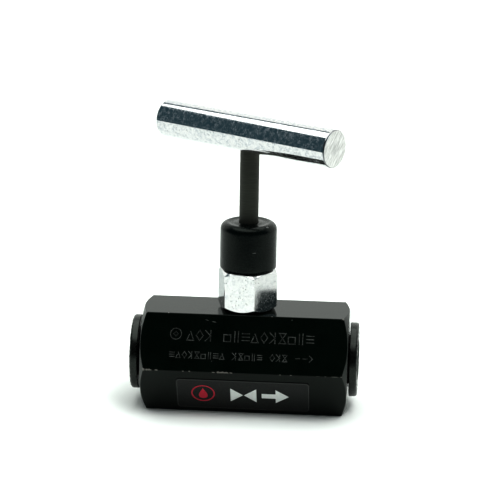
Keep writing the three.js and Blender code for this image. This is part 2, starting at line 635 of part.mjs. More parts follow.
const BLACKENED_STEEL = finish(0x14171a, 0.35, 0.4);
const ZINC_PLATE = finish(0xc9ccd1, 0.3, 1);
const BLACK_STEM = finish(0x17181a, 0.4, 0.5);
const BARE_STEEL = finish(0x9a9da3, 0.3, 1);
const HARD_STEEL = finish(0x84878d, 0.25, 1);
const SOFT_VINYL = finish(0x121212, 0.55, 0);
const PLUG_PLASTIC = finish(0x101112, 0.4, 0);
const SEAL_RUBBER = finish(0x1c1c1c, 0.7, 0);
const SEAL_PTFE = finish(0xe8e6df, 0.5, 0);
const LABEL_FILM = finish(0x1b1e1d, 0.4, 0);

// ---- Assembly -----------------------------------------------------------------------------------

function part(name, geometry, material) {
  const mesh = new THREE.Mesh(geometry, material);
  mesh.name = name;
  return mesh;
}

const valve = new THREE.Group();
valve.name = "needle_valve";

valve.add(
  part("valve_body", valveBody(), BLACKENED_STEEL),
  part("seat_insert", seatInsert(), HARD_STEEL),
  part("bonnet_nut", bonnetNut(), ZINC_PLATE),
  part("bonnet_o_ring", bonnetORing(), SEAL_RUBBER),
  part("bonnet_backup_ring", bonnetBackupRing(), SEAL_PTFE),
  part("backup_ring_lower", packingRing(BACKUP_LOWER_Z), SEAL_PTFE),
  part("needle_o_ring", needleORing(), SEAL_RUBBER),
  part("backup_ring_upper", packingRing(BACKUP_UPPER_Z), SEAL_PTFE),
  part("packing_washer", packingRing(WASHER_Z), BARE_STEEL),
  part("packing_circlip", packingCirclip(), BARE_STEEL),
  part("spindle_wiper", spindleWiper(), SEAL_RUBBER),
  part("dust_cap", dustCap(), SOFT_VINYL),
  part("label", label(), LABEL_FILM),
);

const needleGroup = new THREE.Group();
needleGroup.name = "needle_group";
needleGroup.add(
  part("needle", needle(), HARD_STEEL),
  part("thrust_ball", thrustBall(), HARD_STEEL),
  part("swivel_ring", swivelRing(), BARE_STEEL),
);

const spindleGroup = new THREE.Group();
spindleGroup.name = "spindle_group";
spindleGroup.add(
  part("spindle", spindle(), BLACK_STEM),
  part("t_bar", tBar(), ZINC_PLATE),
  part("t_bar_pin", tBarPin(), BARE_STEEL),
);

needleGroup.add(spindleGroup);
valve.add(needleGroup);
valve.add(part("inlet_plug", portPlug(-1), PLUG_PLASTIC), part("outlet_plug", portPlug(1), PLUG_PLASTIC));

export default valve;
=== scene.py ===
"""Hand-operated in-line needle valve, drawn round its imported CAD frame.

Every visible part gets its own fine mesh: the hexagon body with threaded ports, the plated bonnet, the
soft dust cap, the stem, the T-bar, the two port plugs and the printed label. The seals, needle and other
inner parts keep their CAD shape. Sizes that the frame can't give are named below, in millimetres.
"""

import json
import math
import random

import bmesh
import bpy
from mathutils import Matrix, Vector, noise


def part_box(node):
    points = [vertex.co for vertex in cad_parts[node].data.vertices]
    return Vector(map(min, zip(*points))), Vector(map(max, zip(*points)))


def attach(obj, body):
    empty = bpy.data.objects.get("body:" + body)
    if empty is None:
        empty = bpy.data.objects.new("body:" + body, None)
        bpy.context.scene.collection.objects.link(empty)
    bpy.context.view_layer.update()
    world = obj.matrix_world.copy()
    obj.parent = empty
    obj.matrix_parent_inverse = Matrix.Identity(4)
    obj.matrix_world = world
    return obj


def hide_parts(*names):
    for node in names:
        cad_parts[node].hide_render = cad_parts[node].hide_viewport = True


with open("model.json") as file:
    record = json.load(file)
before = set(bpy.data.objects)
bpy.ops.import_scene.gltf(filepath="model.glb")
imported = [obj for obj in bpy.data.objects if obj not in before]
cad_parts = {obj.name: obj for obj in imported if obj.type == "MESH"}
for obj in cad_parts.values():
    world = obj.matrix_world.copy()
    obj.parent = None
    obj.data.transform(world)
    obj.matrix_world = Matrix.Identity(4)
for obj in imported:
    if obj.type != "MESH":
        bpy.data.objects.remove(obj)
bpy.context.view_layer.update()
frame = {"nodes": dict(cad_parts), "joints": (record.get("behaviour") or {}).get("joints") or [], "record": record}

# ---- Sizes that the frame doesn't give, in millimetres -------------------------------------------

BODY_END_RADIUS = 15.65
BODY_END_CHAMFER = math.radians(30)
BODY_EDGE = 0.16
BODY_BORE_LEAD_IN = 0.7
BODY_THREAD_ABOVE_NOSE = 3.1

PORT_MOUTH_RADIUS = 7.95
PORT_DEPTH = 16.0
PORT_TAPER = 1 / 32
PORT_LEAD_IN = 0.95
PIPE_THREAD_PITCH = 25.4 / 18
PIPE_THREAD_DEPTH = 0.85
THREAD_FLAT = 0.14  # part of a thread's height that is flat at its crest, and again at its root
PORT_RUN_OUT = 2.5

INLET_PASSAGE = {"radius": 2.0, "z": 10.8, "end": 1.8}
OUTLET_PASSAGE = {"radius": 1.8, "z": 17.0, "end": 0.0}
RISER_RADIUS = 1.8

BONNET_ACROSS_FLATS = 17.0
BONNET_THREAD_RADIUS = 7.0
BONNET_RELIEF = {"radius": 6.6, "z": 31.0}
BONNET_HEX_TOP = 45.1
BONNET_HEX_FACE_RADIUS = 7.95
BONNET_HEX_CORNER_RADIUS = 9.7
BONNET_HEX_CHAMFER = 1.4
BONNET_HEX_TURN = math.radians(15.7)
BONNET_HEX_EDGE = 0.09
BONNET_NOSE_LENGTH = 3.4
BONNET_GROOVE_RADIUS = 3.9
BONNET_THREAD_TOP = 50.2
BOSS_RADIUS = 7.0
BOSS_BELOW_HEX_TOP = 4.0
BOSS_EDGE = 0.6
NEEDLE_BORE_RADIUS = 2.65

CAP_SHOULDER = 2.3
CAP_LIP = 0.45
CAP_ROOF = 2.0
CAP_DISH = 0.22
CAP_HUGS = 0.04  # gap round the stem
CAP_PINCH = 0.07  # how far the cap stays inside its CAD shape
CAP_WAVE = 0.09  # rise and fall of its lower edge

ROD_RADIUS = 3.0
ROD_EDGE = 0.3
SWIVEL_RADIUS = 2.5
SWIVEL_GROOVE = {"radius": 2.03, "half_width": 0.5}
SPINDLE_THREAD = {"start": 3.5, "end": 15.6, "edge": 0.4}
T_BAR_RADIUS = 5.9
T_BAR_LENGTH = 65.6
T_BAR_SHIFT = -0.4
T_BAR_EDGE = 0.5
T_BAR_TURN = math.radians(-33.4)
T_BAR_END_DISH = 0.06
T_BAR_SOCKET_ABOVE_AXIS = 2.6
PIN_RADIUS = 1.5
PIN_WALL = 0.45
PIN_EDGE = 0.2
PIN_SLOT = math.radians(26)  # half of the slot's opening
PIN_START = -3.6
PIN_BELOW_BAR_SURFACE = 0.6

PLUG_FLANGE_RADIUS = 11.72
PLUG_NECK_RADIUS = 7.65
PLUG_TIP_RADIUS = 7.3
PLUG_FLANGE_INNER_X = 32.88
PLUG_FACE_X = 35.4
PLUG_WALL = 1.3
PLUG_ROUND_OFF = 0.85
PLUG_RECESS = 0.06
PLUG_FLASH = 0.2
PLUG_RIB = {"count": 3, "first": 1.6, "step": 2.4, "height": 0.16, "foot": 0.5, "crest": 0.15}
# The rings on a plug's outer face, from its rim inwards: each radius, and how high the face is there
PLUG_FACE = (
    (9.2, "level"), (8.9, "sunk"), (6.7, "sunk"), (6.55, "level"), (6.3, "raised"), (5.7, "raised"),
    (5.45, "level"), (5.2, "sunk"), (1.1, "sunk"), (0.95, "pip"), (0.4, "raised"), (0, "raised"),
)
PLUG_MARKS = {"count": 6, "radius": 3.5, "size": (0.45, 1.7, 0.5)}

LABEL_SIZE = (42.0, 13.5)
LABEL_CORNER = 1.3
LABEL_BELOW_MID_EDGE = 3.4
LABEL_ELEVATION = math.radians(-30)
LABEL_LIFT = 0.03
LABEL_EDGE = 0.03
LABEL_FILM = 0.13
PRINT = 0.015

GAP = 0.1
WELD = 0.0005
FINE = 160  # sides of a round shape that is seen close
PLAIN = 64
MM = 0.001

ZINC_RELIEF = 0.007
SAW_SLANT = math.radians(38)

# ---- Studio: brightness of each part of the room, and where the white paper ends in front --------

PAPER_FRONT = ((-5000, -143), (-230, -143), (-60, -175), (5000, -175))
SOFTBOX = (2.6, 2.66, 2.6, 1)
SOFTBOX_EDGE = (51.8, 49.3)  # elevation of its edge in degrees, at the sides and behind
BACKDROP = (1.33, 1.37, 1.33, 1)
BACKDROP_SIDE = (10, 22)  # where it fades in, in degrees behind the valve's long axis
BACKDROP_TOP = (45.5, 42.5)  # where it ends, in degrees of elevation
FLOOR_WHITE = (0.82, 0.842, 0.826, 1)
# Painted shade: the floor's base colour turns from FLOOR_WHITE to this darker grey along +X, for less light on
# that side
FLOOR_PAINTED_SHADE = (0.66, 0.678, 0.665, 1)
FLOOR_PAINTED_SHADE_SPAN = (85, 130)  # where the floor starts and stops to lose light, along +X
DARK_ROOM = (0.068, 0.125, 0.15, 1)
SEEN_WHITE = (1.1, 1.1, 1.1, 1)  # the room as the camera sees it
DARK_FRONT = (0.016, 0.02, 0.022, 1)
PRINT_CONTRAST = 0.69

# ---- Camera, from the photograph's viewing angle -------------------------------------------------

VIEW_AZIMUTH = math.radians(4.1)
VIEW_ELEVATION = math.radians(15.72)
VIEW_ROLL = math.radians(0.95)
VIEW_DISTANCE = 0.7438
VIEW_LENS = 170.5
VIEW_SENSOR = 36.0
VIEW_TARGET = Vector((0.00053, 0, 0.05072))


def millimetres(node):
    """Lowest and highest corner of a CAD node, in millimetres."""
    low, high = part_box(node)
    return low / MM, high / MM


body_low, body_high = millimetres("valve_body")
ACROSS_FLATS = body_high.z - body_low.z
AXIS_Z = (body_high.z + body_low.z) / 2
HALF_LENGTH = body_high.x
BODY_SIDE = ACROSS_FLATS / math.sqrt(3)
t_bar_low, t_bar_high = millimetres("t_bar")
T_BAR_Z = (t_bar_low.z + t_bar_high.z) / 2


# ---- Mesh helpers --------------------------------------------------------------------------------

def linked(name, data):
    """A new object in the scene."""
    obj = bpy.data.objects.new(name, data)
    bpy.context.scene.collection.objects.link(obj)
    return obj


def mesh_object(name, bm):
    mesh = bpy.data.meshes.new(name)
    bm.to_mesh(mesh)
    bm.free()
    return linked(name, mesh)


def object_of(name, bm):
    """A new object from a bmesh in millimetres, with its faces pointing out."""
    bmesh.ops.recalc_face_normals(bm, faces=bm.faces[:])
    bmesh.ops.scale(bm, vec=(MM, MM, MM), verts=bm.verts[:])
    return mesh_object(name, bm)


def modify(obj, kind, **settings):
    """Replaces the mesh with the one that a modifier makes of it."""
    modifier = obj.modifiers.new(kind.lower(), kind)
    for key, value in settings.items():
        setattr(modifier, key, value)
    graph = bpy.context.evaluated_depsgraph_get()
    old = obj.data
    obj.data = bpy.data.meshes.new_from_object(obj.evaluated_get(graph))
    obj.modifiers.clear()
    bpy.data.meshes.remove(old)
    return obj


def weld(obj):
    """Joins vertices that fall together."""
    bm = bmesh.new()
    bm.from_mesh(obj.data)
    bmesh.ops.remove_doubles(bm, verts=bm.verts[:], dist=WELD * MM)
    bm.to_mesh(obj.data)
    bm.free()
    return obj


def combine(obj, other, operation):
    """Joins, cuts or intersects obj with another closed object, which is used up."""
    modify(obj, "BOOLEAN", operation=operation, solver="EXACT", material_mode="INDEX", object=other)
    bpy.data.objects.remove(other)
    return weld(obj)


def cut(obj, *tools):
    """Takes closed objects out of obj, one after another."""
    for tool in tools:
        combine(obj, tool, "DIFFERENCE")
    return obj


def round_edges(obj, width):
    angle = math.radians(12)
    modify(obj, "BEVEL", width=width * MM, segments=3, limit_method="ANGLE", angle_limit=angle,
           use_clamp_overlap=False)
    return weld(obj)


def shade(obj, degrees=35):
    """Smooth shading, with sharp edges where faces meet at more than the given angle."""
    obj.data.shade_smooth()
    obj.data.set_sharp_from_angle(angle=math.radians(degrees))
    return obj


def shade_flats(obj, degrees=35):
    """Lets the large faces set the normals, so that only the narrow rounded edges look curved."""
    return modify(shade(obj, degrees), "WEIGHTED_NORMAL", mode="FACE_AREA", weight=50, keep_sharp=True)


def finished(obj, materials, index):
    """Gives an object its materials, with one of them on all of its faces."""
    for material in materials:
        obj.data.materials.append(material)
    for face in obj.data.polygons:
        face.material_index = index
    return obj


def around(radius, angle, z):
    """The point at an angle round +Z, with that radius and height."""
    return radius * math.cos(angle), radius * math.sin(angle), z


def ring_of(bm, sides, place):
    """A ring of vertices: place(angle) gives each one's point."""
    return [bm.verts.new(place(2 * math.pi * i / sides)) for i in range(sides)]


def skin(bm, ring_a, ring_b):
    """Quads between two rings of the same number of vertices."""
    count = len(ring_a)
    for i in range(count):
        j = (i + 1) % count
        bm.faces.new((ring_a[i], ring_a[j], ring_b[j], ring_b[i]))


def fan(bm, ring, tip):
    for i, vertex in enumerate(ring):
        bm.faces.new((vertex, ring[(i + 1) % len(ring)], tip))


def turned(name, outline, sides=FINE):
    """A solid turned about +Z from [radius, z] points. One that stays off the axis closes as a ring."""
    bm = bmesh.new()
    rings = []
    for radius, z in outline:
        if radius == 0:
            rings.append(bm.verts.new((0, 0, z)))
        else:
            rings.append(ring_of(bm, sides, lambda a: around(radius, a, z)))
    pairs = list(zip(rings, rings[1:]))
    if outline[0][0] > 0:
        pairs.append((rings[-1], rings[0]))
    for first, second in pairs:
        if isinstance(first, list) and isinstance(second, list):
            skin(bm, first, second)
        elif isinstance(first, list):
            fan(bm, first, second)
        elif isinstance(second, list):
            fan(bm, second, first)
    return object_of(name, bm)


def stepped(bottom, *steps):
    """The outline of cylinders standing on each other, each given by its radius and its top."""
    outline = [(0, bottom)]
    for radius, top in steps:
        outline += [(radius, bottom), (radius, top)]
        bottom = top
    return outline


def arc(centre_radius, centre_z, size, start, end, steps):
    """Points on an arc in the outline plane, angles in degrees from the radius direction."""
    points = []
    for i in range(steps + 1):
        angle = math.radians(start + (end - start) * i / steps)
        points.append((centre_radius + size * math.cos(angle), centre_z + size * math.sin(angle)))
    return points


def hexagon(name, across_flats, bottom, top, turn=0.0):
    """A hexagonal bar along +Z with a corner facing -Y, before it is turned."""
    bm = bmesh.new()
    corner = across_flats / math.sqrt(3)

    def place(z):
        return lambda a: (corner * math.sin(a + turn), -corner * math.cos(a + turn), z)

    low = ring_of(bm, 6, place(bottom))
    high = ring_of(bm, 6, place(top))
    skin(bm, low, high)
    bm.faces.new(low)
    bm.faces.new(high)
    return object_of(name, bm)


def coned_envelope(bottom, top, end_radius, side_radius, cone):
    """A cylinder coned back at both ends over a length of cone, to cut a bar's corners with."""
    outline = [(0, bottom), (end_radius, bottom), (side_radius, bottom + cone)]
    outline += [(side_radius, top - cone), (end_radius, top), (0, top)]
    return turned("envelope", outline, 240)


def moved(obj, matrix):
    obj.data.transform(matrix)
    return obj


def along_body(obj, side):
    """Lays a shape made along +Z along the body's axis, with its +Z end facing +X or -X."""
    place = Matrix.Translation((0, 0, AXIS_Z * MM))
    return moved(obj, place @ Matrix.Rotation(side * math.pi / 2, 4, "Y"))


def drill(radius, start, end, place, sides=PLAIN):
    """A cutter for a straight hole from start to end along +Z, put in place by a matrix."""
    cutter = turned("cutter", [(0, start), (radius, start), (radius, end), (0, end)], sides)
    return moved(cutter, place)


# ---- Body ----------------------------------------------------------------------------------------

def thread_height(turns):
    """Height of a flattened V thread, 0 at the crest and 1 at the root, at a number of turns."""
    wave = 1 - abs(2 * (turns % 1.0) - 1)
    return min(max((wave - THREAD_FLAT) / (1 - 2 * THREAD_FLAT), 0.0), 1.0)


def port_cutter(side):
    """One tapered port with its pipe thread, from its floor out through the end face."""
    bm = bmesh.new()
    steps_per_turn = 8
    sides = 96
    floor_x = HALF_LENGTH - PORT_DEPTH
    outer_x = HALF_LENGTH + 1.0
    count = int((outer_x - floor_x) / PIPE_THREAD_PITCH * steps_per_turn)

    def radius(x, angle):
        plain = PORT_MOUTH_RADIUS - (HALF_LENGTH - x) * PORT_TAPER
        turns = x / PIPE_THREAD_PITCH - side * angle / (2 * math.pi)
        fade = min(max((x - floor_x) / PORT_RUN_OUT - 1, 0.0), 1.0)
        threaded = plain + fade * PIPE_THREAD_DEPTH * thread_height(turns)
        lead_in = PORT_MOUTH_RADIUS + PORT_LEAD_IN + (x - HALF_LENGTH)
        return max(threaded, lead_in) if x < HALF_LENGTH else lead_in

    rings = []
    for i in range(count + 1):
        x = floor_x + (outer_x - floor_x) * i / count
        rings.append(ring_of(bm, sides, lambda a: around(radius(x, a), a, x)))
    for low, high in zip(rings, rings[1:]):
        skin(bm, low, high)
    fan(bm, rings[0], bm.verts.new((0, 0, floor_x)))
    fan(bm, rings[-1], bm.verts.new((0, 0, outer_x)))
    return along_body(object_of("port_cutter", bm), side)


def bonnet_bore_cutter():
    """The stepped bore for the seat and the bonnet. Its sizes come from the parts that stand in it."""
    seat_low, seat_high = millimetres("seat_insert")
    nose_low, _ = millimetres("bonnet_nut")
    _, ring_high = millimetres("bonnet_backup_ring")
    thread = BONNET_THREAD_RADIUS + GAP
    outline = stepped(
        seat_low.z - GAP / 2,
        (seat_high.x + GAP, nose_low.z - 2 * GAP),
        (ring_high.x + GAP, nose_low.z + BODY_THREAD_ABOVE_NOSE),
        (thread, ACROSS_FLATS - BODY_BORE_LEAD_IN),
    )
    outline += [(thread + BODY_BORE_LEAD_IN + 1, ACROSS_FLATS + 1), (0, ACROSS_FLATS + 1)]
    return turned("bonnet_bore", outline, PLAIN)


def passage_cutter(passage, side):
    """A passage drilled along the body from a port's floor to its end below or beside the seat."""
    reach = HALF_LENGTH - PORT_DEPTH + 0.5
    start, end = (-reach, passage["end"]) if side < 0 else (passage["end"], reach)
    place = Matrix.Translation((0, 0, passage["z"] * MM)) @ Matrix.Rotation(math.pi / 2, 4, "Y")
    return drill(passage["radius"], start, end, place)


def make_body():
    """Hexagon bar with coned ends, engraved marks, threaded ports, the bonnet's bore and the passages."""
    blank = hexagon("body_shell", ACROSS_FLATS, -HALF_LENGTH, HALF_LENGTH)
    along_body(blank, 1)
    reach = BODY_SIDE + 1
    cone = (reach - BODY_END_RADIUS) * math.tan(BODY_END_CHAMFER)
    envelope = coned_envelope(-HALF_LENGTH, HALF_LENGTH, BODY_END_RADIUS, reach, cone)
    combine(blank, along_body(envelope, 1), "INTERSECT")
    round_edges(blank, BODY_EDGE)
    finishes = (body_material(), bare_steel_material())
    cut(finished(blank, finishes, 0), finished(marks_cutter(), finishes, 1))
    seat_low, _ = millimetres("seat_insert")
    cut(
        blank,
        port_cutter(-1),
        port_cutter(1),
        bonnet_bore_cutter(),
        drill(RISER_RADIUS, INLET_PASSAGE["z"], seat_low.z + 0.5, Matrix.Identity(4)),
        passage_cutter(INLET_PASSAGE, -1),
        passage_cutter(OUTLET_PASSAGE, 1),
    )
    return shade_flats(blank, 28)


# ---- Peened marks and scratches on the body's upper front flat -----------------------------------

# Plain figures drawn on a grid 4 wide and 6 high, each a few strokes long. None of them is a letter.
MARK_FIGURES = (
    (((0, 0), (4, 0), (2, 5), (0, 0)),),
    (((1, 0), (1, 6)), ((3, 0), (3, 6))),
    (((0, 0), (4, 6), (0, 6), (4, 0), (0, 0)),),
    (((0, 3), (2, 6), (4, 3), (2, 0), (0, 3)),),
    (((0, 5), (4, 5)), ((0, 3), (4, 3)), ((0, 1), (4, 1))),
    (((0, 0), (0, 4), (4, 4), (4, 0), (0, 0)),),
    (((0, 6), (3, 3), (0, 0)), ((3, 6), (3, 0))),
)
ARROW_STROKES = (((0, 3), (3, 3)), ((6, 3), (9, 3)), ((11, 5.5), (13.5, 3), (11, 0.5)))

# Each line of marks: first figure's place, height, step along, number of places and empty places
UPPER_MARKS = {"x": -17.8, "y": 0.72, "height": 3.6, "step": 2.88, "count": 14, "gaps": (3,)}
LOWER_MARKS = {"x": -22.9, "y": -5.0, "height": 2.3, "step": 1.96, "count": 19, "gaps": (9, 15)}
ARROW_X = 16.5
EMBLEM = {"x": -21.3, "y": 2.62, "radius": 1.75, "diamond": 0.7}
UPPER_DOTS = {"spacing": 0.46, "radius": 0.18, "depth": 0.14}
LOWER_DOTS = {"spacing": 0.385, "radius": 0.165, "depth": 0.12}
# Each scratch: place, length and turn in degrees
SCRATCHES = ((-11.8, 7.35, 1.7, -17), (-9.6, 6.85, 2.1, -8), (14.7, 8.35, 0.3, 0), (-9.7, -5.7, 0.35, 30))


def stroke_dots(strokes, spacing):
    """Dots along strokes, evenly spaced, none of them on top of another."""
    dots = []
    for points in strokes:
        for (x0, y0), (x1, y1) in zip(points, points[1:]):
            count = max(1, round(math.hypot(x1 - x0, y1 - y0) / spacing))
            for i in range(count + 1):
                dot = (x0 + (x1 - x0) * i / count, y0 + (y1 - y0) * i / count)
                if all(math.dist(dot, other) > spacing * 0.8 for other in dots):
                    dots.append(dot)
    return dots


def placed(strokes, x, y, size):
    return [[(x + px * size, y + py * size) for px, py in points] for points in strokes]


def line_dots(line, spacing, first_figure):
    dots = []
    size = line["height"] / 6
    for i in range(line["count"]):
        if i in line["gaps"]:
            continue
        figure = MARK_FIGURES[(first_figure + 3 * i) % len(MARK_FIGURES)]
        dots += stroke_dots(placed(figure, line["x"] + i * line["step"], line["y"], size * 0.9), spacing)
    return dots


def pit(bm, x, y, radius, depth, length=0.0, angle=0.0):
    """A cutter for a pointed pit, or for a scratch when it has a length."""
    sides, rise = 8, 0.04
    turn = math.radians(angle)
    long_way = Vector((math.cos(turn), math.sin(turn)))
    short_way = Vector((-math.sin(turn), math.cos(turn)))
    wider = radius * (1 + rise / depth)
    ring = []
    for i in range(sides):
        a = 2 * math.pi * (i + 0.5) / sides
        point = long_way * (wider + length / 2) * math.cos(a) + short_way * wider * math.sin(a)
        ring.append(bm.verts.new((x + point.x, y + point.y, rise)))
    fan(bm, ring, bm.verts.new((x, y, -depth)))
    fan(bm, ring[::-1], bm.verts.new((x, y, 2 * rise)))


def marks_cutter():
    """Two lines of peened marks ending in a flow arrow, a ringed diamond before them, and a few scratches."""
    random.seed(11)
    size = EMBLEM["diamond"]
    ring = [around(EMBLEM["radius"], math.pi * i / 12, 0)[:2] for i in range(25)]
    diamond = ((0, -size), (size, 0), (0, size), (-size, 0), (0, -size))
    emblem = placed([ring, diamond], EMBLEM["x"], EMBLEM["y"], 1)
    arrow = placed(ARROW_STROKES, ARROW_X, LOWER_MARKS["y"], LOWER_MARKS["height"] / 6)
    upper = stroke_dots(emblem, UPPER_DOTS["spacing"]) + line_dots(UPPER_MARKS, UPPER_DOTS["spacing"], 0)
    lower = line_dots(LOWER_MARKS, LOWER_DOTS["spacing"], 4) + stroke_dots(arrow, LOWER_DOTS["spacing"])
    bm = bmesh.new()
    for dots, shape in ((upper, UPPER_DOTS), (lower, LOWER_DOTS)):
        for x, y in dots:
            shift = (random.uniform(-0.02, 0.02), random.uniform(-0.02, 0.02))
            depth = shape["depth"] * random.uniform(0.8, 1.15)
            pit(bm, x + shift[0], y + shift[1], shape["radius"], depth)
    for x, y, length, angle in SCRATCHES:
        pit(bm, x, y, 0.09, 0.06, length, angle)
    return moved(object_of("marks", bm), on_flat(math.radians(30)))


# ---- Bonnet --------------------------------------------------------------------------------------

def bonnet_core():
    """The turned part of the bonnet: nose with its seal groove, thread, relief and boss."""
    nose_low, nose_high = millimetres("bonnet_nut")
    ring_low, ring_high = millimetres("bonnet_backup_ring")
    _, seal_high = millimetres("bonnet_o_ring")
    outline = stepped(
        nose_low.z,
        (ring_high.x, ring_low.z - GAP / 2),
        (BONNET_GROOVE_RADIUS, seal_high.z + GAP / 2),
        (ring_high.x, nose_low.z + BONNET_NOSE_LENGTH),
        (BONNET_THREAD_RADIUS, BONNET_RELIEF["z"]),
        (BONNET_RELIEF["radius"], BONNET_HEX_TOP - BOSS_BELOW_HEX_TOP),
        (BOSS_RADIUS, nose_high.z - BOSS_EDGE),
    )
    return turned("core", outline + [(BOSS_RADIUS - BOSS_EDGE, nose_high.z), (0, nose_high.z)])


def bonnet_bore():
    """The bore for the needle, its seals, the needle's head, the spindle's thread and the wiper."""
    bonnet_low, bonnet_high = millimetres("bonnet_nut")
    _, needle_high = millimetres("needle")
    packing_low, packing_high = millimetres("backup_ring_lower")
    clip_low, clip_high = millimetres("packing_circlip")
    _, spindle_high = millimetres("spindle")
    wiper_low, wiper_high = millimetres("spindle_wiper")
    lift = next(joint for joint in frame["joints"] if joint["name"] == "needle_lift")["range_m"][1] / MM
    cavity = packing_high.x + GAP
    rod = ROD_RADIUS + 1.5 * GAP
    outline = stepped(
        bonnet_low.z - 1,
        (NEEDLE_BORE_RADIUS, packing_low.z - GAP),
        (cavity, clip_low.z - GAP / 2),
        (clip_high.y + 1.5 * GAP, clip_high.z + GAP / 2),
        (cavity, needle_high.z + lift + 3 * GAP),
        (spindle_high.x + 1.5 * GAP, BONNET_THREAD_TOP + lift + GAP),
        (rod, wiper_low.z - 3 * GAP),
        (wiper_high.x + GAP, wiper_high.z + 3 * GAP),
        (rod, bonnet_high.z + 1),
    )
    return turned("bore", outline + [(0, bonnet_high.z + 1)], PLAIN)


def make_bonnet():
    """The plated hexagon, coned back at both ends, with its turned core, bored through."""
    bottom, top = ACROSS_FLATS + GAP / 2, BONNET_HEX_TOP
    bonnet = hexagon("bonnet_shell", BONNET_ACROSS_FLATS, bottom, top, BONNET_HEX_TURN)
    cone = (BONNET_HEX_FACE_RADIUS, BONNET_HEX_CORNER_RADIUS, BONNET_HEX_CHAMFER)
    combine(bonnet, coned_envelope(bottom, top, *cone), "INTERSECT")
    combine(round_edges(bonnet, BONNET_HEX_EDGE), bonnet_core(), "UNION")
    return shade_flats(cut(bonnet, bonnet_bore()), 28)


# ---- Dust cap ------------------------------------------------------------------------------------

def make_cap():
    """Dip-moulded vinyl: soft shoulders, a lip that hugs the stem and a slightly wavy lower edge."""
    low, high = millimetres("dust_cap")
    radius = high.y
    inner = BOSS_RADIUS + 1.5 * GAP
    hole = ROD_RADIUS + CAP_HUGS
    roof = high.z - CAP_ROOF
    wall_steps = 26
    wall_low, wall_high = low.z + CAP_LIP, high.z - CAP_SHOULDER
    wall = [(radius, wall_low + (wall_high - wall_low) * i / wall_steps) for i in range(1, wall_steps)]
    top_steps = 12
    top_start, top_end = radius - CAP_SHOULDER, hole + 0.5
    top = []
    for i in range(1, top_steps):
        share = i / top_steps
        sunk = CAP_DISH * math.sin(math.pi * share)
        top.append((top_start + (top_end - top_start) * share, high.z - sunk))
    outline = [(inner, low.z)]
    outline += arc(radius - CAP_LIP, low.z + CAP_LIP, CAP_LIP, -90, 0, 5)
    outline += wall
    outline += arc(radius - CAP_SHOULDER, high.z - CAP_SHOULDER, CAP_SHOULDER, 0, 90, 12)
    outline += top
    outline += arc(hole + 0.3, high.z - 0.3, 0.3, 90, 180, 4)
    outline += [(hole, roof), (inner, roof)]
    cap = turned("cap_skin", outline, 192)
    for vertex in cap.data.vertices:
        point = vertex.co / MM
        reach = math.hypot(point.x, point.y)
        if reach < inner + 0.01:
            continue
        near_lip = max(0.0, 1 - (point.z - low.z) / 2.5)
        soft = noise.noise(point * 0.22) * 0.05 + noise.noise(point * 0.9) * 0.02 * near_lip
        shrink = 1 - (CAP_PINCH + soft + 0.06 * near_lip * noise.noise(point * 0.5)) / radius
        vertex.co.x *= shrink
        vertex.co.y *= shrink
        if point.z < low.z + 0.8:
            wave = noise.noise(Vector((point.x, point.y, 3.0)) * 0.45)
            vertex.co.z += MM * CAP_WAVE * (1 + wave)
    return shade(cap, 50)


# ---- Stem and handle -----------------------------------------------------------------------------

def make_stem():
    """The spindle: swivel end with its ring groove, threaded part and the rod up into the T-bar."""
    low, high = millimetres("spindle")
    ring_low, ring_high = millimetres("swivel_ring")
    ring_z = (ring_low.z + ring_high.z) / 2
    groove, edge = SWIVEL_GROOVE["half_width"], SPINDLE_THREAD["edge"]
    thread_low, thread_high = low.z + SPINDLE_THREAD["start"], low.z + SPINDLE_THREAD["end"]
    outline = stepped(
        low.z,
        (SWIVEL_RADIUS, ring_z - groove),
        (SWIVEL_GROOVE["radius"], ring_z + groove),
        (SWIVEL_RADIUS, thread_low),
    )
    outline += [(high.x - edge, thread_low), (high.x, thread_low + edge), (high.x, thread_high - edge)]
    outline += [(ROD_RADIUS, thread_high), (ROD_RADIUS, high.z - ROD_EDGE)]
    outline += [(ROD_RADIUS - ROD_EDGE, high.z), (0, high.z)]
    return shade_flats(cut(turned("stem", outline, 96), pin_hole(-ROD_RADIUS - 1, ROD_RADIUS + 1)))


def pin_place():
    """The pin's hole lies across the T-bar, where the frame has the pin."""
    low, high = millimetres("t_bar_pin")
    place = Matrix.Translation((0, 0, (low.z + high.z) / 2 * MM)) @ Matrix.Rotation(T_BAR_TURN, 4, "Z")
    return place @ Matrix.Rotation(-math.pi / 2, 4, "X")


def pin_hole(start, end):
    return drill(PIN_RADIUS + GAP, start, end, pin_place())


def make_t_bar():
    """Plated round bar, made along its own Z, with broken edges and faintly dished sawn ends."""
    half = T_BAR_LENGTH / 2
    edge = T_BAR_EDGE
    rim = T_BAR_RADIUS - edge
    dish = T_BAR_END_DISH
    outline = [(0, dish - half), (rim * 0.5, dish * 0.7 - half)]
    outline += arc(rim, edge - half, edge, -90, 0, 6)
    outline += arc(rim, half - edge, edge, 0, 90, 6)
    outline += [(rim * 0.5, half - dish * 0.7), (0, half - dish)]
    bar = turned("t_bar_plated", outline, 192)
    place = Matrix.Translation((0, 0, T_BAR_Z * MM)) @ Matrix.Rotation(T_BAR_TURN, 4, "Z")
    place = place @ Matrix.Rotation(math.pi / 2, 4, "Y")
    place = place @ Matrix.Translation((0, 0, T_BAR_SHIFT * MM))
    inverse = place.inverted()
    below = T_BAR_Z - T_BAR_RADIUS - 1
    socket = drill(ROD_RADIUS + GAP, below, T_BAR_Z + T_BAR_SOCKET_ABOVE_AXIS, inverse)
    hole = moved(pin_hole(PIN_START - GAP, T_BAR_RADIUS + 1), inverse)
    return shade_flats(moved(cut(bar, socket, hole), place), 40)


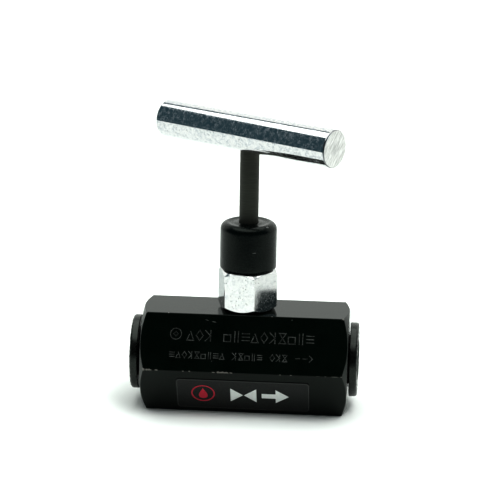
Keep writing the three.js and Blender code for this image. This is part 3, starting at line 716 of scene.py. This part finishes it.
def make_pin():
    """Slotted spring pin, driven in from the rear of the T-bar."""
    start, end = PIN_START, T_BAR_RADIUS - PIN_BELOW_BAR_SURFACE
    inner, broken = PIN_RADIUS - PIN_WALL, PIN_RADIUS - PIN_EDGE
    bm = bmesh.new()
    steps = 30

    def curve(radius, z):
        angles = [PIN_SLOT + 2 * (math.pi - PIN_SLOT) * i / steps for i in range(steps + 1)]
        return [bm.verts.new(around(radius, a, z)) for a in angles]

    rings = [curve(inner, start), curve(broken, start), curve(PIN_RADIUS, start + PIN_EDGE)]
    rings += [curve(PIN_RADIUS, end - PIN_EDGE), curve(broken, end), curve(inner, end)]
    for low, high in zip(rings, rings[1:] + rings[:1]):
        for i in range(steps):
            bm.faces.new((low[i], low[i + 1], high[i + 1], high[i]))
    bm.faces.new([ring[0] for ring in rings])
    bm.faces.new([ring[-1] for ring in reversed(rings)])
    return shade(moved(object_of("spring_pin", bm), pin_place()))


# ---- Port plugs ----------------------------------------------------------------------------------

def make_plug(name, side):
    """A moulded plug: tapered cup with sealing ribs, round-edged flange and raised marks on its face."""
    low, high = millimetres("outlet_plug")
    tip, face, top = low.x, PLUG_FACE_X, high.x - 0.02
    hollow_end = PLUG_FLANGE_INNER_X - 0.6
    rim, round_off = PLUG_FLANGE_RADIUS, PLUG_ROUND_OFF
    foot, crest, height = PLUG_RIB["foot"], PLUG_RIB["crest"], PLUG_RIB["height"]
    ribs = []
    for i in reversed(range(PLUG_RIB["count"])):
        x = HALF_LENGTH - PLUG_RIB["first"] - PLUG_RIB["step"] * i
        taper = PLUG_NECK_RADIUS - (HALF_LENGTH - x) * (PLUG_NECK_RADIUS - PLUG_TIP_RADIUS) / 10
        ribs += [(taper, x - foot), (taper + height, x - crest)]
        ribs += [(taper + height, x + crest), (taper, x + foot)]
    outline = [(0, hollow_end), (PLUG_NECK_RADIUS - PLUG_WALL - 0.6, hollow_end)]
    outline += [(PLUG_NECK_RADIUS - PLUG_WALL, hollow_end - 0.6), (PLUG_TIP_RADIUS - PLUG_WALL, tip)]
    outline += [(PLUG_TIP_RADIUS - 0.4, tip), (PLUG_TIP_RADIUS, tip + 0.5)]
    outline += ribs
    outline += [(PLUG_NECK_RADIUS, HALF_LENGTH), (PLUG_NECK_RADIUS, PLUG_FLANGE_INNER_X - 0.25)]
    outline += arc(PLUG_NECK_RADIUS + 0.25, PLUG_FLANGE_INNER_X - 0.25, 0.25, 180, 90, 3)
    outline += arc(rim - 0.3, PLUG_FLANGE_INNER_X + 0.3, 0.3, -90, 0, 4)
    outline += arc(rim - round_off, face - round_off, round_off, 0, 90, 8)
    heights = {"level": face, "sunk": face - PLUG_RECESS, "pip": top - 0.08, "raised": top}
    outline += [(radius, heights[level]) for radius, level in PLUG_FACE]
    plug = turned(name, outline, FINE)
    size = PLUG_MARKS["size"]
    for i in range(PLUG_MARKS["count"]):
        mark = box_at(size, Vector((PLUG_MARKS["radius"], 0, top - size[2] / 2 - 0.02)))
        turn = 2 * math.pi * (i + 0.5) / PLUG_MARKS["count"]
        combine(plug, moved(mark, Matrix.Rotation(turn, 4, "Z")), "UNION")
    for vertex in plug.data.vertices:
        point = vertex.co / MM
        on_rim = math.hypot(point.x, point.y) > rim - round_off - 0.1 and point.z > face - round_off
        if on_rim:
            rough = noise.noise(Vector((point.x, point.y, side * 9.0)) * 1.6)
            vertex.co.z += MM * PLUG_FLASH * max(0.0, rough)
    inlet_low, _ = millimetres("inlet_plug")
    stands_out = -inlet_low.x - high.x if side < 0 else 0.0
    moved(plug, Matrix.Translation((0, 0, stands_out * MM)))
    return shade_flats(along_body(plug, side))


def box_at(size, centre):
    """A small block with broken upper edges."""
    bm = bmesh.new()
    bmesh.ops.create_cube(bm, size=1)
    for vertex in bm.verts:
        taper = 0.8 if vertex.co.z > 0 else 1.0
        scale = Vector((size[0] * taper, size[1] * taper, size[2]))
        vertex.co = vertex.co * scale + centre
    return object_of("block", bm)


# ---- Flat shapes on the hexagon's front flats ----------------------------------------------------

def on_flat(elevation, lift=0.0):
    """Places a shape drawn in X and Y onto a front flat, whose outward normal has that elevation."""
    normal = Vector((0, -math.cos(elevation), math.sin(elevation)))
    up = Vector((0, math.sin(elevation), math.cos(elevation)))
    origin = (Vector((0, 0, AXIS_Z)) + normal * (ACROSS_FLATS / 2 + lift)) * MM
    turn = Matrix((Vector((1, 0, 0)), up, normal)).transposed().to_4x4()
    return Matrix.Translation(origin) @ turn


def plate(name, outline, thickness, edge=0.0):
    """A flat plate of an outline, from z 0 up, with its upper edge drawn in by edge."""
    bm = bmesh.new()
    centre = sum((Vector(p) for p in outline), Vector((0, 0))) / len(outline)
    low = [bm.verts.new((x, y, 0)) for x, y in outline]
    high = [bm.verts.new((x, y, thickness)) for x, y in outline]
    if edge:
        for vertex, (x, y) in zip(high, outline):
            inward = (centre - Vector((x, y))).normalized() * edge
            vertex.co.x += inward.x
            vertex.co.y += inward.y
    skin(bm, low, high)
    bm.faces.new(low)
    bm.faces.new(high)
    return object_of(name, bm)


def rounded_rectangle(width, height, corner, steps=8):
    points = []
    for quarter, (sx, sy) in enumerate(((1, 1), (-1, 1), (-1, -1), (1, -1))):
        for i in range(steps + 1):
            angle = math.pi / 2 * (quarter + i / steps)
            x = sx * (width / 2 - corner) + corner * math.cos(angle)
            y = sy * (height / 2 - corner) + corner * math.sin(angle)
            points.append((x, y))
    return points


def joined(name, objects):
    """One object out of several, each of them already in place."""
    bm = bmesh.new()
    for obj in objects:
        bm.from_mesh(obj.data)
        bpy.data.objects.remove(obj)
    return mesh_object(name, bm)


def label_place(lift, x=0.0, y=0.0):
    """A place on the label, from its middle."""
    middle = BODY_SIDE / 2 - LABEL_BELOW_MID_EDGE - LABEL_SIZE[1] / 2
    return on_flat(LABEL_ELEVATION, lift) @ Matrix.Translation((x * MM, (middle + y) * MM, 0))


def make_label():
    film = plate("label_film", rounded_rectangle(*LABEL_SIZE, LABEL_CORNER), LABEL_FILM, LABEL_EDGE)
    return moved(film, label_place(LABEL_LIFT))


def label_border():
    """The thin printed line round the label's edge."""
    bm = bmesh.new()
    width, inset = 0.16, 0.3
    loops = []
    for shrink, z in ((inset, 0), (inset, PRINT), (inset + width, PRINT), (inset + width, 0)):
        size = [side - 2 * shrink for side in LABEL_SIZE]
        points = rounded_rectangle(size[0], size[1], LABEL_CORNER - shrink * 0.6)
        loops.append([bm.verts.new((x, y, z)) for x, y in points])
    for low, high in zip(loops, loops[1:] + loops[:1]):
        skin(bm, low, high)
    return moved(object_of("label_border", bm), label_place(LABEL_LIFT + LABEL_FILM))


def drop_outline(width, height, steps=40):
    """An oil drop, round below and pointed above."""
    points = []
    for i in range(steps):
        angle = 2 * math.pi * i / steps
        pinch = math.sin(angle / 2) ** 1.6
        points.append((width / 2 * math.sin(angle) * pinch * 1.18, height / 2 * math.cos(angle)))
    return points


def make_red_mark():
    """A red oil drop in a ring, the usual sign for hydraulic oil."""
    drop = moved(plate("drop", drop_outline(3.5, 4.9), PRINT), Matrix.Translation((0, 0.1 * MM, 0)))
    ring = turned("ring", [(3.75, 0), (3.75, PRINT), (3.25, PRINT), (3.25, 0)], 72)
    mark = joined("label_drop", [drop, ring])
    return moved(mark, label_place(LABEL_LIFT + LABEL_FILM, -12.5, 0.3))


def make_white_marks():
    """The drawing sign of a valve, two facing triangles, and a bold flow arrow."""
    left, right, middle, half = -3.9, 14.5, 0.2, 3.1
    wing, shaft, start, neck = middle - left, 1.05, 5.9, 10.3
    shapes = [
        [(left, -half), (middle - 0.1, 0), (left, half)],
        [(middle + wing, half), (middle + 0.1, 0), (middle + wing, -half)],
        [(start, -shaft), (neck, -shaft), (neck, -half), (right, 0)]
        + [(neck, half), (neck, shaft), (start, shaft)],
    ]
    marks = joined("label_symbols", [plate("mark", shape, PRINT) for shape in shapes])
    return moved(marks, label_place(LABEL_LIFT + LABEL_FILM))


# ---- Shader values -------------------------------------------------------------------------------

class Value:
    """One output of a shader node. Sums and products of values add the nodes that work them out."""

    def __init__(self, tree, output):
        self.tree = tree
        self.output = output

    def __add__(self, other):
        return maths("ADD", self, other)

    def __sub__(self, other):
        return maths("SUBTRACT", self, other)

    def __rsub__(self, other):
        return maths("SUBTRACT", other, self)

    def __mul__(self, other):
        return maths("MULTIPLY", self, other)

    def __truediv__(self, other):
        return maths("DIVIDE", self, other)

    def ramp(self, low, high, to_low=0.0, to_high=1.0):
        """This value mapped from low..high to to_low..to_high, and held beyond them."""
        inputs = {"Value": self, "From Min": low, "From Max": high, "To Min": to_low, "To Max": to_high}
        return node(self.tree, "MapRange", inputs)


def feed(tree, socket, value):
    """Links a socket to a value, or sets it to a constant."""
    if isinstance(value, Value):
        tree.links.new(value.output, socket)
    else:
        socket.default_value = value


def node(tree, kind, inputs, output=0, **settings):
    """Adds a node and gives one of its outputs as a value."""
    made = tree.nodes.new("ShaderNode" + kind)
    for key, value in settings.items():
        setattr(made, key, value)
    for key, value in inputs.items():
        feed(tree, made.inputs[key], value)
    return Value(tree, made.outputs[output])


def maths(operation, first, second=0.0):
    tree = (first if isinstance(first, Value) else second).tree
    return node(tree, "Math", {0: first, 1: second}, operation=operation)


def vector_maths(operation, first, second, output="Vector"):
    return node(first.tree, "VectorMath", {0: first, 1: second}, output, operation=operation)


def blend(share, first, second):
    """The first colour where share is 0, the second where it is 1."""
    return node(share.tree, "Mix", {0: share, 6: first, 7: second}, 2, data_type="RGBA")


class Look:
    """A material in the making: a Principled shader fed by values over the object's own space."""

    def __init__(self, name, **constants):
        self.material = bpy.data.materials.new(name)
        self.material.use_nodes = True
        self.tree = self.material.node_tree
        self.here = self.space()
        for key, value in constants.items():
            self.feed(key.replace("_", " "), value)

    def feed(self, socket, value):
        feed(self.tree, self.tree.nodes["Principled BSDF"].inputs[socket], value)

    def space(self, stretch=(1, 1, 1), turn=0.0):
        """Object coordinates in millimetres, turned back about +Z and stretched along each axis."""
        coordinates = node(self.tree, "TexCoord", {}, "Object")
        scale = [axis / MM for axis in stretch]
        return node(self.tree, "Mapping", {"Vector": coordinates, "Scale": scale, "Rotation": (0, 0, -turn)})

    def noise(self, scale, detail=3.0, rough=0.5, space=None, output="Fac"):
        inputs = {"Vector": space or self.here, "Scale": scale, "Detail": detail, "Roughness": rough}
        return node(self.tree, "TexNoise", inputs, output)

    def finish(self, colour, rough, relief, depth):
        """Feeds the shader and gives the finished material. The relief's depth is in millimetres."""
        self.feed("Base Color", colour)
        self.feed("Roughness", rough)
        self.feed("Normal", node(self.tree, "Bump", {"Height": relief, "Distance": depth * MM}))
        return self.material


def grey(value, green=0.0):
    return (value, value + green, value, 1)


# ---- Materials -----------------------------------------------------------------------------------

GREENISH = (0.9, 1.0, 0.93, 1)  # tint of what the black parts mirror

# Chips in the black along the front edges: place along X, and half length and half height of each
MID_EDGE_CHIPS = (
    (-31.0, 0.7, 0.5), (-29.4, 1.1, 0.28), (-26.9, 0.45, 0.22), (-18.4, 0.3, 0.16), (-16.5, 0.3, 0.16),
    (-9.0, 0.5, 0.2), (-6.2, 2.1, 0.26), (-3.4, 0.5, 0.2), (11.8, 0.35, 0.12), (15.2, 0.3, 0.12),
    (23.6, 0.9, 0.05), (25.9, 0.4, 0.06), (28.9, 1.2, 0.07), (31.0, 0.5, 0.15),
)
TOP_EDGE_CHIPS = ((30.7, 0.35, 0.3), (-24.0, 0.3, 0.12), (8.5, 0.25, 0.1), (-31.0, 0.3, 0.2))

# Nicks in the cap: degrees from -Y towards +X, distance from the axis, height, half width, half height
CAP_NICKS = ((17, 8.5, 52.1, 0.7, 0.07), (52, 7.9, 59.6, 0.4, 0.35))


def edge_chips():
    """Centre and half sizes of every chip along the two front edges."""
    mid_edge = Vector((0, -BODY_SIDE, AXIS_Z))
    top_edge = Vector((0, -BODY_SIDE / 2, ACROSS_FLATS))
    for edge, chips in ((mid_edge, MID_EDGE_CHIPS), (top_edge, TOP_EDGE_CHIPS)):
        for x, half_length, half_height in chips:
            yield edge + Vector((x, 0, 0)), (half_length, half_height * 1.6, half_height)


def cap_nicks():
    """Centre and half sizes of every nick in the cap."""
    for turn, radius, z, half_width, half_height in CAP_NICKS:
        yield Vector(around(radius, math.radians(turn - 90), z)), (half_width, half_width, half_height)


def ragged_spots(look, spots):
    """1 inside each spot, given by its centre and half sizes, with ragged outlines."""
    ragged = look.noise(2.2, 4, 0.65).ramp(0.2, 0.8, -0.8, 0.8)
    mask = None
    for centre, size in spots:
        scaled = vector_maths("DIVIDE", vector_maths("SUBTRACT", look.here, centre), size)
        reach = vector_maths("LENGTH", scaled, (0, 0, 0), "Value")
        spot = (reach + ragged).ramp(1.12, 0.9)
        mask = spot if mask is None else maths("MAXIMUM", mask, spot)
    return mask


def body_material():
    """Blackened steel bar: near-black semi-gloss, drawn lines along X, chips along the front edges."""
    look = Look("blackened_steel", Specular_IOR_Level=0.27, Specular_Tint=GREENISH)
    grain = look.noise(2.6, 4, 0.6)
    lines = look.noise(5.0, 3, 0.6, look.space((0.03, 1, 1)))
    patches = look.noise(0.12).ramp(0.35, 0.65)
    chips = ragged_spots(look, edge_chips())
    black = blend(patches, (0.0015, 0.004, 0.0026, 1), (0.0026, 0.0058, 0.004, 1))
    colour = blend(chips, black, (0.17, 0.163, 0.15, 1))
    rough = grain.ramp(0.3, 0.7, 0.1, 0.14) + chips * 0.3
    return look.finish(colour, rough, grain * 0.5 + lines * 0.5 - chips * 1.5, 0.003)


def bare_steel_material():
    """The peened marks: the black broken through to dull grey steel, uneven from dot to dot."""
    look = Look("peened_steel", Specular_IOR_Level=0.3)
    uneven = look.noise(0.45, 4, 0.7).ramp(0.35, 0.65)
    fine = look.noise(5.0, 2)
    colour = blend(uneven, (0.025, 0.027, 0.025, 1), (0.15, 0.157, 0.15, 1))
    return look.finish(colour, fine.ramp(0.3, 0.7, 0.5, 0.65), fine, 0.01)


def zinc(look, tone, roughness, crackle, mottle, chalk):
    """Colour, roughness and relief of bright zinc: cloudy, with dull specks, dark pits and crackle."""
    cloud = look.noise(0.5, 5, 0.6)
    fine = look.noise(2.6, 3, 0.6)
    specks = look.noise(0.9, 4, 0.7).ramp(0.48, 0.6)
    strayed = vector_maths("ADD", look.here, look.noise(0.9, output="Color"))
    spots = node(look.tree, "TexVoronoi", {"Vector": strayed, "Scale": 1.15}, "Distance")
    pits = spots.ramp(0.08, 0.24, 1.0, 0.0) * look.noise(0.8, 2).ramp(0.4, 0.5, 0.15, 1.0)
    cells = {"Vector": strayed, "Scale": 0.62}
    borders = node(look.tree, "TexVoronoi", cells, "Distance", feature="DISTANCE_TO_EDGE")
    veins = borders.ramp(0.0, 0.07, 1.0, 0.0) * look.noise(0.35).ramp(0.4, 0.62, 0.0, crackle)
    dull = maths("MAXIMUM", specks * mottle, veins)
    high = tuple(channel * 1.07 for channel in tone) + (1,)
    low = (tone[0] * 0.88, tone[1] * 0.91, tone[2] * 0.95, 1)
    bright = blend(dull, blend(cloud.ramp(0.35, 0.65), tone + (1,), high), low)
    colour = blend(pits * 0.75, bright, (0.06, 0.065, 0.07, 1))
    smooth = fine.ramp(0.3, 0.7, roughness - 0.02, roughness + 0.02)
    look.feed("Metallic", 1.0 - dull * chalk)
    return colour, smooth + dull * 0.1 + pits * 0.3, fine * 0.3 + cloud * 0.5 - pits * 0.6


def bonnet_zinc():
    """The bonnet's plate, whose dull hexagon faces lose brightness at a glancing angle."""
    look = Look("zinc_plate", Specular_Tint=(0.6, 0.62, 0.62, 1))
    return look.finish(*zinc(look, (0.72, 0.72, 0.715), 0.14, 0.25, 0.4, 0.1), ZINC_RELIEF)


def bar_zinc():
    """The T-bar's plate, with duller, streaked sawn ends and a darker broken edge round them."""
    look = Look("zinc_plate_sawn_ends")
    colour, rough, relief = zinc(look, (0.65, 0.65, 0.65), 0.045, 0.7, 1.0, 0.2)
    bar = look.space(turn=T_BAR_TURN)
    along = maths("ABSOLUTE", node(look.tree, "SeparateXYZ", {"Vector": bar}, "X") - T_BAR_SHIFT)
    slant = node(look.tree, "Mapping", {"Vector": bar, "Rotation": (SAW_SLANT, 0, 0)})
    stretched = node(look.tree, "Mapping", {"Vector": slant, "Scale": (1, 2.4, 0.35)})
    lines = look.noise(0.8, 4, 0.65, stretched)
    half = T_BAR_LENGTH / 2
    ends = along.ramp(half - 0.12, half - 0.04)
    broken = along.ramp(half - T_BAR_EDGE, half - T_BAR_EDGE * 0.6)
    cut = blend(lines.ramp(0.38, 0.62), (0.6, 0.595, 0.58, 1), (0.93, 0.925, 0.915, 1))
    colour = blend(ends, blend(broken * 0.75, colour, (0.16, 0.165, 0.17, 1)), cut)
    return look.finish(colour, rough + broken * 0.25, relief + lines * ends * 1.2, ZINC_RELIEF)


def stem_material():
    """Satin black oxide on a turned rod, with fine rings round it."""
    look = Look("black_stem", Specular_IOR_Level=0.28)
    rings = look.noise(5.0, 3, 0.6, look.space((0.05, 0.05, 1)))
    grain = look.noise(2.5)
    colour = blend(rings.ramp(0.4, 0.7), (0.048, 0.052, 0.042, 1), (0.066, 0.071, 0.057, 1))
    return look.finish(colour, grain.ramp(0.3, 0.7, 0.42, 0.55), rings + grain * 0.4, 0.0025)


def vinyl_material():
    """Soft black vinyl: satin, faintly pebbled, with pale dust specks and nicks."""
    look = Look("black_vinyl", Specular_IOR_Level=0.3, Specular_Tint=GREENISH)
    pebble = look.noise(1.6, 5, 0.6)
    dust = look.noise(3.4, 3, 0.8).ramp(0.7, 0.76)
    black = blend(look.noise(0.25, 2).ramp(0.35, 0.65), (0.001, 0.003, 0.0027, 1), (0.003, 0.006, 0.0053, 1))
    pale = maths("MAXIMUM", dust * 0.3, ragged_spots(look, cap_nicks()))
    return look.finish(blend(pale, black, grey(0.2)), pebble.ramp(0.3, 0.7, 0.2, 0.3), pebble, 0.02)


def plug_material():
    """Moulded black polyethylene: waxy and slightly mottled."""
    look = Look("black_polyethylene", Specular_IOR_Level=0.58, Specular_Tint=GREENISH)
    mottled = look.noise(0.8, 4, 0.6)
    colour = blend(mottled.ramp(0.35, 0.65), grey(0.003, 0.0004), grey(0.007, 0.0006))
    return look.finish(colour, mottled.ramp(0.3, 0.7, 0.24, 0.34), mottled + look.noise(4.0, 2) * 0.3, 0.02)


def print_material(name, colour, roughness=0.32):
    """Printed film: even ink with a fine grain and slight unevenness."""
    look = Look(name)
    uneven = look.noise(0.6)
    dim = tuple(channel * 0.86 for channel in colour[:3]) + (1,)
    rough = look.noise(6.0, 2).ramp(0.3, 0.7, roughness - 0.05, roughness + 0.05)
    return look.finish(blend(uneven, dim, colour), rough, uneven, 0.01)


def inner_metal(name, colour, lay):
    """Ground or turned inner steel, with its lay along the given stretch."""
    look = Look(name, Metallic=1.0)
    lines = look.noise(6.0, 3, 0.6, look.space(lay))
    dim = tuple(channel * 0.7 for channel in colour[:3]) + (1,)
    return look.finish(blend(lines.ramp(0.3, 0.7), dim, colour), lines.ramp(0.3, 0.7, 0.2, 0.34), lines, 0.01)


def inner_soft(name, dark, pale, roughness):
    """Seal material: nitrile rubber or PTFE, mottled and slightly rough."""
    look = Look(name)
    mottled = look.noise(1.4, 4)
    rough = mottled.ramp(0.3, 0.7, roughness - 0.08, roughness + 0.08)
    return look.finish(blend(mottled, dark, pale), rough, mottled, 0.02)


# ---- The pieces and what they ride on ------------------------------------------------------------

def add_piece(obj, name, body, material, replaced=()):
    obj.name = name
    obj.data.name = name
    if material:
        finished(obj, [material], 0)
    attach(obj, body)
    if replaced:
        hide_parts(*replaced)
    return obj


def dress_inner_parts():
    """Materials for the CAD parts that stay as they are, all of them inside the valve."""
    across = (0.05, 0.05, 1)
    finishes = {
        "hard_steel": inner_metal("ground_steel", (0.5, 0.51, 0.53, 1), across),
        "spring_steel": inner_metal("spring_steel", (0.34, 0.35, 0.37, 1), across),
        "seal_rubber": inner_soft("nitrile_rubber", grey(0.012), grey(0.02), 0.6),
        "seal_ptfe": inner_soft("ptfe", (0.74, 0.73, 0.68, 1), (0.84, 0.83, 0.79, 1), 0.5),
    }
    slots = {part["node"]: part["material_slot"] for part in frame["record"]["subparts"]}
    for name, obj in frame["nodes"].items():
        if slots[name] in finishes:
            obj.data.materials.clear()
            obj.data.materials.append(finishes[slots[name]])


def build_pieces():
    white = print_material("white_ink", (0.84, 0.86, 0.84, 1))
    red = print_material("red_ink", (0.55, 0.02, 0.055, 1))
    line = print_material("grey_ink", (0.07, 0.075, 0.07, 1))
    film = print_material("black_film", (0.0035, 0.0065, 0.005, 1), 0.25)
    add_piece(make_body(), "body_shell", "valve", None, ["valve_body"])
    add_piece(make_bonnet(), "bonnet_shell", "valve", bonnet_zinc(), ["bonnet_nut"])
    add_piece(make_cap(), "cap_skin", "valve", vinyl_material(), ["dust_cap"])
    add_piece(make_label(), "label_base", "valve", film, ["label"])
    add_piece(label_border(), "label_border", "valve", line)
    add_piece(make_red_mark(), "label_drop", "valve", red)
    add_piece(make_white_marks(), "label_symbols", "valve", white)
    add_piece(make_stem(), "stem_rod", "spindle", stem_material(), ["spindle"])
    add_piece(make_t_bar(), "t_bar_plated", "spindle", bar_zinc(), ["t_bar"])
    steel = bpy.data.materials["spring_steel"]
    add_piece(make_pin(), "spring_pin", "spindle", steel, ["t_bar_pin"])
    plastic = plug_material()
    for node_name, side in (("inlet_plug", -1), ("outlet_plug", 1)):
        name = node_name + "_moulded"
        add_piece(make_plug(name, side), name, node_name, plastic, [node_name])


# ---- Floor, light and camera ---------------------------------------------------------------------

def make_floor():
    """A wide white floor, just below the body's bottom flat. Its colour is painted darker towards its right side:
    painted shade for less light there.
    """
    bm = bmesh.new()
    bmesh.ops.create_circle(bm, cap_ends=True, segments=96, radius=6000)
    bmesh.ops.translate(bm, vec=(0, 0, -0.02), verts=bm.verts[:])
    floor = object_of("floor", bm)
    look = Look("white_floor", Roughness=0.8, Specular_IOR_Level=0.2)
    across = node(look.tree, "SeparateXYZ", {"Vector": look.here}, "X")
    # Painted shade: the base colour darkens along +X
    look.feed("Base Color", blend(across.ramp(*FLOOR_PAINTED_SHADE_SPAN), FLOOR_WHITE, FLOOR_PAINTED_SHADE))
    floor.data.materials.append(look.material)


def make_dark_surround():
    """The unlit room in front of the white paper's front edge. Only mirror reflections see it."""
    bm = bmesh.new()
    reach, height = 5000.0, 0.5
    corners = ((reach, -reach), (-reach, -reach), *PAPER_FRONT)
    bm.faces.new([bm.verts.new((x, y, height)) for x, y in corners])
    card = object_of("dark_surround", bm)
    material = bpy.data.materials.new("dark_room")
    material.use_nodes = True
    tree = material.node_tree
    tree.nodes.clear()
    out = tree.nodes.new("ShaderNodeOutputMaterial")
    feed(tree, out.inputs["Surface"], node(tree, "Emission", {"Color": DARK_ROOM, "Strength": 1.0}))
    card.data.materials.append(material)
    for rays in ("camera", "diffuse", "shadow", "transmission"):
        setattr(card, "visible_" + rays, False)


def sines(degrees):
    return [math.sin(math.radians(angle)) for angle in degrees]


def make_world():
    """Softbox overhead, white backdrop behind with a thin gap between them, dark room elsewhere."""
    world = bpy.data.worlds.new("studio")
    bpy.context.scene.world = world
    world.use_nodes = True
    tree = world.node_tree
    tree.nodes.clear()
    direction = node(tree, "TexCoord", {}, "Generated")
    x, y, z = [node(tree, "SeparateXYZ", {"Vector": direction}, axis) for axis in "XYZ"]
    flat = maths("MAXIMUM", maths("SQRT", x * x + y * y), 0.001)
    facing = y / flat
    spread = facing + maths("MAXIMUM", x, 0.0) / flat * 0.2
    behind = spread.ramp(*sines(BACKDROP_SIDE))
    below_gap = z.ramp(*sines(BACKDROP_TOP))
    edge = facing.ramp(0.45, 0.75, *sines(SOFTBOX_EDGE))
    colour = blend(facing.ramp(-0.95, -0.4), DARK_FRONT, DARK_ROOM)
    colour = blend(behind * below_gap, colour, BACKDROP)
    colour = blend((z - edge).ramp(-0.008, 0.008), colour, SOFTBOX)
    colour = blend(node(tree, "LightPath", {}, "Is Camera Ray"), colour, SEEN_WHITE)
    out = tree.nodes.new("ShaderNodeOutputWorld")
    feed(tree, out.inputs["Surface"], node(tree, "Background", {"Color": colour, "Strength": 1.0}))


def make_lamp(name, place, size, power):
    """A broad round lamp that points at the valve. It fills the shadows and isn't mirrored in the metal."""
    data = bpy.data.lights.new(name, "AREA")
    data.shape = "DISK"
    data.size = size
    data.energy = power
    lamp = linked(name, data)
    lamp.location = place
    lamp.rotation_euler = (-lamp.location).to_track_quat("-Z", "Y").to_euler()
    lamp.visible_glossy = False


def make_camera():
    data = bpy.data.cameras.new("camera")
    data.lens = VIEW_LENS
    data.sensor_width = VIEW_SENSOR
    data.clip_start, data.clip_end = 0.01, 50
    camera = linked("camera", data)
    back = Vector((
        math.sin(VIEW_AZIMUTH) * math.cos(VIEW_ELEVATION),
        -math.cos(VIEW_AZIMUTH) * math.cos(VIEW_ELEVATION),
        math.sin(VIEW_ELEVATION),
    ))
    camera.location = VIEW_TARGET + back * VIEW_DISTANCE
    level = (-back).to_track_quat("-Z", "Y").to_matrix().to_4x4()
    rolled = level @ Matrix.Rotation(VIEW_ROLL, 4, "Z")
    camera.rotation_euler = rolled.to_euler()
    bpy.context.scene.camera = camera


dress_inner_parts()
build_pieces()
make_floor()
make_dark_surround()
make_world()
make_lamp("fill_high", (0.42, -0.4, 1.1), 0.6, 6.5)
make_camera()
bpy.context.scene.view_settings.view_transform = "Standard"
bpy.context.scene.view_settings.gamma = PRINT_CONTRAST

bpy.context.view_layer.update()
